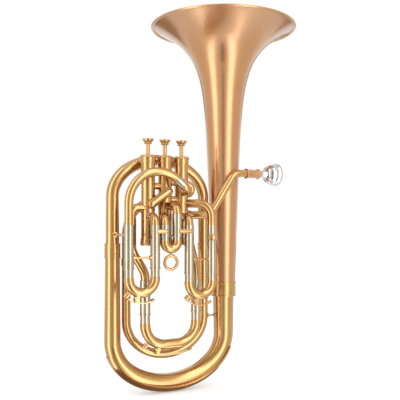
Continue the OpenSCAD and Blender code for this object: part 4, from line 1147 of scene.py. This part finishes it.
@dataclass
class Slides:
    """Sleeves of the four pull-out slides, with a rolled ring round each mouth."""

    ring_h: float = 2.0
    ring_t: float = 0.8

    GROUPS = {
        "third_sleeves": (Sleeve(-93.0, 255.0, 62.0), Sleeve(-53.0, 255.0, 62.0)),
        "second_sleeves": (Sleeve(-38.0, 255.0, 16.5), Sleeve(-18.5, 271.0, 32.5)),
        "first_sleeves": (Sleeve(1.0, 255.0, 71.0), Sleeve(38.0, 255.0, 71.0)),
        "tuning_sleeves": (Sleeve(-55.5, 174.0, 50.0, -32.0, 15.2, 14.0),
                           Sleeve(27.5, 174.0, 50.0, -32.0, 15.2, 14.0)),
    }

    def outline(self, sleeve: Sleeve) -> list[Point2]:
        """Outline of a sleeve from its mouth, at height 0, to its top.

        Args:
            sleeve: the sleeve.

        Returns:
            The (radius, height) points in order.
        """
        r, bore = sleeve.d / 2, sleeve.leg_d / 2 + CLEARANCE
        ring = r + self.ring_t
        return rounded([(bore, 0), (ring, 0), (ring, self.ring_h), (r, self.ring_h), (r, sleeve.length),
                        (bore, sleeve.length)], 0.5)

    def build(self, shop: Workshop) -> None:
        """Make the sleeves and dress the legs.

        Args:
            shop: workshop that makes the pieces.
        """
        for node, sleeves in self.GROUPS.items():
            rings = joined([(turned(self.outline(s), 72), Matrix.Translation((s.x, s.y, s.top_z - s.length)))
                            for s in sleeves])
            shop.piece(f"ringed_{node}", rings, node, NICKEL_SILVER)
        for slide in ("third", "second", "first", "tuning"):
            shop.dress(f"{slide}_slide_legs", NICKEL_SILVER)


@dataclass
class LyreScrew:
    """Thumb screw of the lyre holder, with a coned and knurled head."""

    foot: Point3 = (38.0, -62.0, 237.0)
    turn: float = -28.0
    tip: float = 15.6
    shank_d: float = 3.0
    head_low: float = 3.6
    head_d: float = 9.0
    head_h: float = 3.2
    cone_h: float = 0.8
    knurl_depth: float = 0.25
    segments: int = 72

    def build(self, shop: Workshop) -> None:
        """Make the screw along its own axis and set it in the holder.

        Args:
            shop: workshop that makes the pieces.
        """
        shank, r, low = self.shank_d / 2, self.head_d / 2, self.head_low
        top = low + self.head_h
        shoulder = top - self.cone_h
        bm = turned([(0, 0), (shank - 0.3, 0), (shank, 0.4), (shank, low), (r - 0.5, low), (r, low + 0.4),
                     (r, shoulder - 0.4), (r - 0.15, shoulder - 0.1), (r - 0.5, shoulder + 0.1),
                     (0.5, top - 0.04), (0, top)], self.segments, closed=False)
        knurl(bm, r, low + 0.3, shoulder - 0.3, self.knurl_depth, self.segments)
        place = (Matrix.Translation(self.foot) @ Matrix.Rotation(radians(self.turn), 4, "Z")
                 @ Matrix.Translation((0, -self.tip, 0)) @ Matrix.Rotation(radians(90), 4, "X"))
        shop.piece("knurled_lyre_screw", joined([(bm, place)]), "lyre_screw", body=Body.LYRE_SCREW)


@dataclass
class Braces:
    """Rods and posts between the tubes, and two straps whose fronts are crowned."""

    strap_low_z: float = 243.0
    strap_h: float = 6.0
    front_y: float = -70.2
    crown: float = 0.95
    levels: int = 12
    match: float = 0.01

    def build(self, shop: Workshop) -> None:
        """Cut the straps of the CAD braces into levels and set each level back along a curve.

        Args:
            shop: workshop that makes the pieces.
        """
        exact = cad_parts["braces"].data
        plain = bpy.data.meshes.new("plain")
        plain.from_pydata([v.co / MM for v in exact.vertices], [], [f.vertices[:] for f in exact.polygons])
        bm = bmesh.new()
        bm.from_mesh(plain)
        bpy.data.meshes.remove(plain)
        bmesh.ops.remove_doubles(bm, verts=bm.verts, dist=0.001)
        heights = [self.strap_low_z + self.strap_h * i / self.levels for i in range(self.levels + 1)]
        for z in heights[1:-1]:
            bmesh.ops.bisect_plane(bm, geom=[*bm.verts, *bm.edges, *bm.faces], dist=1e-4,
                                   plane_co=(0, 0, z), plane_no=(0, 0, 1))
        front = [v for v in bm.verts if abs(v.co.y - self.front_y) < self.match]
        for i, z in enumerate(heights):
            back = self.crown * (2 * i / self.levels - 1) ** 2
            level = [v for v in front if abs(v.co.z - z) < self.match]
            bmesh.ops.translate(bm, vec=(0, back, 0), verts=level)
        shop.piece("crowned_braces", bm, "braces")


BRASS_NODES = ("first_valve_casing", "second_valve_casing", "third_valve_casing", "valve_cross_tubes",
               "diagonal_tube", "compensating_loop", "third_knuckle", "second_knuckles", "first_knuckles",
               "third_arch", "arch_elbow", "third_slide_bow", "second_slide_bow", "second_pull_ring",
               "first_slide_bow", "tuning_slide_bow", "third_key_saddle", "third_water_key",
               "first_key_saddle", "first_water_key", "tuning_key_saddle", "tuning_water_key", "lyre_holder")


@dataclass(frozen=True)
class Card:
    """A curved upright card that only reflections see: its middle and half angle round the horn, its
    distance and heights in metres, and its tone."""

    name: str
    turn: float
    half: float
    distance: float
    low: float
    high: float
    tone: str


@dataclass(frozen=True)
class LowStrip:
    """A level strip at or below the floor that only reflections see. Its ends are given, in metres, as
    distances from the horn's middle towards the camera and to the camera's right."""

    name: str
    near: Point2
    far: Point2
    width: float
    z: float
    glow: float
    tone: str = "FFFFFF"


@dataclass
class Studio:
    """White studio: a pale floor, a white surround, two tall soft boxes, cards and the camera."""

    camera_at: Point3 = (-0.4315, -0.9098, 0.2565)
    look: Point3 = (0.469, 0.883, 0.0)
    lens_mm: float = 58.9
    shift_y: float = 0.06
    centre: Point3 = (0.0, 0.0, 0.3)
    box_size: Point2 = (0.42, 5.0)
    box_distance: float = 0.95
    left_turn: float = -49.0
    right_turn: float = 40.0
    box_power: float = 14.5
    floor_half: float = 30.0
    floor_tone: str = "F2F2F2"
    floor_glow: float = 0.3
    ambient: float = 0.8
    card_steps: int = 32
    cards: tuple[Card, ...] = (
        Card("dark_card", 0.0, 4.5, 1.9, -0.2, 3.0, "1C120A"),
        Card("low_dark_card", 0.0, 9.0, 1.2, -1.6, -0.2, "1C120A"),
        Card("warm_surround", 0.0, 125.0, 2.6, -2.5, 3.0, "F3EBDC"),
        *(Card(f"{side}_{level}_edge_card", turn, 10.0, 1.3, low, high, "8A6A4A")
          for side, turn in (("left", -152.0), ("right", 152.0))
          for level, low, high in (("high", 0.58, 1.3), ("low", -0.4, 0.18))))
    strips: tuple[LowStrip, ...] = (
        LowStrip("left_low_strip", (0.46, -0.75), (-0.95, -0.2), 0.22, -1.0, 2.6),
        LowStrip("right_low_strip", (0.46, 0.75), (-0.95, 0.36), 0.22, -1.0, 2.6),
        # Painted shadow: a dull brown strip just under the horn that reflections see in place of the floor's
        # shadow under the bottom bow
        LowStrip("painted_contact_shadow_card", (0.056, -0.106), (-0.056, 0.106), 0.07, -0.001, 1.0, "8A7460"))

    def facing(self, turn: float, distance: float) -> Matrix:
        """Upright place round the horn, facing it.

        Args:
            turn: degrees to the camera's right of the line from the horn to the camera.
            distance: distance from the horn in metres.

        Returns:
            Place whose -Z axis points at the horn.
        """
        back = -Vector(self.look)
        spot = Matrix.Rotation(radians(turn), 3, "Z") @ back
        turn_to = (-spot).to_track_quat("-Z", "Y").to_matrix().to_4x4()
        return Matrix.Translation(Vector(self.centre) + distance * spot) @ turn_to

    def lamps(self) -> None:
        """Two tall soft boxes, left and right of the camera."""
        for name, turn in (("left_soft_box", self.left_turn), ("right_soft_box", self.right_turn)):
            lamp = bpy.data.lights.new(name, "AREA")
            lamp.shape = "RECTANGLE"
            lamp.size, lamp.size_y = self.box_size
            lamp.energy = self.box_power
            linked(name, lamp).matrix_world = self.facing(turn, self.box_distance)

    def reflected(self, name: str, bm: BMesh, tone: str, glow: float = 1.0) -> None:
        """Set up a plain surface that only reflections see.

        Args:
            name: name of the surface.
            bm: its mesh, which is used up.
            tone: its colour.
            glow: how bright it looks.
        """
        mesh = mesh_of(name, bm)
        material, tree, shader = blank_material(name)
        feed(tree, shader, {"Base Color": linear("000000"), "Roughness": 1.0,
                            "Emission Color": linear(tone), "Emission Strength": glow})
        mesh.materials.append(material)
        obj = linked(name, mesh)
        obj.visible_camera = obj.visible_diffuse = obj.visible_shadow = False

    def curved_card(self, card: Card) -> BMesh:
        """Part of an upright cylinder round the horn.

        Args:
            card: the card.

        Returns:
            Its mesh, in metres.
        """
        bm = bmesh.new()
        start = Matrix.Rotation(radians(card.turn - card.half), 3, "Z") @ -Vector(self.look)
        ends = [bm.verts.new((card.distance * start.x, card.distance * start.y, z))
                for z in (card.low, card.high)]
        bmesh.ops.spin(bm, geom=[*ends, bm.edges.new(ends)], axis=(0, 0, 1), angle=radians(2 * card.half),
                       steps=self.card_steps)
        return bm

    def flat_strip(self, strip: LowStrip) -> BMesh:
        """Level strip between two points.

        Args:
            strip: the strip.

        Returns:
            Its mesh, in metres.
        """
        back = -Vector(self.look)
        right = Vector((-back.y, back.x, 0))
        near, far = (p[0] * back + p[1] * right for p in (strip.near, strip.far))
        along_it = far - near
        turn = Matrix.Rotation(atan2(along_it.y, along_it.x), 4, "Z")
        middle = (near + far) / 2 + Vector((0, 0, strip.z))
        bm = bmesh.new()
        bmesh.ops.create_grid(bm, x_segments=1, y_segments=1, size=0.5, matrix=(
            Matrix.Translation(middle) @ turn @ Matrix.Diagonal((along_it.length, strip.width, 1, 1))))
        return bm

    def floor(self) -> None:
        """Pale floor under the horn that keeps its shadow."""
        bm = bmesh.new()
        bmesh.ops.create_grid(bm, x_segments=1, y_segments=1, size=self.floor_half)
        mesh = mesh_of("pale_floor", bm)
        material, tree, shader = blank_material("pale_floor")
        lift = add_node(tree, "ShaderNodeMath", {0: seen_directly(tree), 1: self.floor_glow},
                        operation="MULTIPLY")
        feed(tree, shader, {"Base Color": linear(self.floor_tone), "Roughness": 0.9,
                            "Emission Color": linear("FFFFFF"), "Emission Strength": lift.outputs[0]})
        mesh.materials.append(material)
        obj = linked("pale_floor", mesh)
        obj.visible_glossy = False

    def surround(self) -> None:
        """White world: full white to the camera and in reflections, and a plain level as light."""
        world = bpy.data.worlds.new("white_surround")
        world.use_nodes = True
        tree = world.node_tree
        tree.nodes.clear()
        level = add_node(tree, "ShaderNodeMapRange",
                         {"Value": seen_directly(tree), "To Min": self.ambient, "To Max": 1.0})
        white = add_node(tree, "ShaderNodeBackground",
                         {"Color": linear("FFFFFF"), "Strength": level.outputs["Result"]})
        add_node(tree, "ShaderNodeOutputWorld", {"Surface": white.outputs["Background"]})
        bpy.context.scene.world = world

    def camera(self) -> None:
        """Camera at the photograph's viewing angle."""
        data = bpy.data.cameras.new("camera")
        data.lens = self.lens_mm
        data.shift_y = self.shift_y
        obj = linked("camera", data)
        turn = Vector(self.look).to_track_quat("-Z", "Y").to_matrix().to_4x4()
        obj.matrix_world = Matrix.Translation(self.camera_at) @ turn
        bpy.context.scene.camera = obj

    def build(self) -> None:
        """Set up the whole studio."""
        bpy.context.scene.view_settings.view_transform = "Standard"
        self.camera()
        self.surround()
        self.floor()
        for card in self.cards:
            self.reflected(card.name, self.curved_card(card), card.tone)
        for strip in self.strips:
            self.reflected(strip.name, self.flat_strip(strip), strip.tone, strip.glow)
        self.lamps()


def main() -> None:
    """Build the horn's pieces in order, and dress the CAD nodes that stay."""
    logging.basicConfig(level=logging.INFO, format="%(name)s: %(message)s")
    Studio().build()
    shop = Workshop()
    for part in (Bell(), MainTubing(), Valves(), MouthEnd(), Slides(), LyreScrew(), Braces()):
        part.build(shop)
    for node in BRASS_NODES:
        shop.dress(node, SATIN_BRASS)
    shop.dress("arch_ferrule", NICKEL_SILVER)


if __name__ == "__main__":
    main()
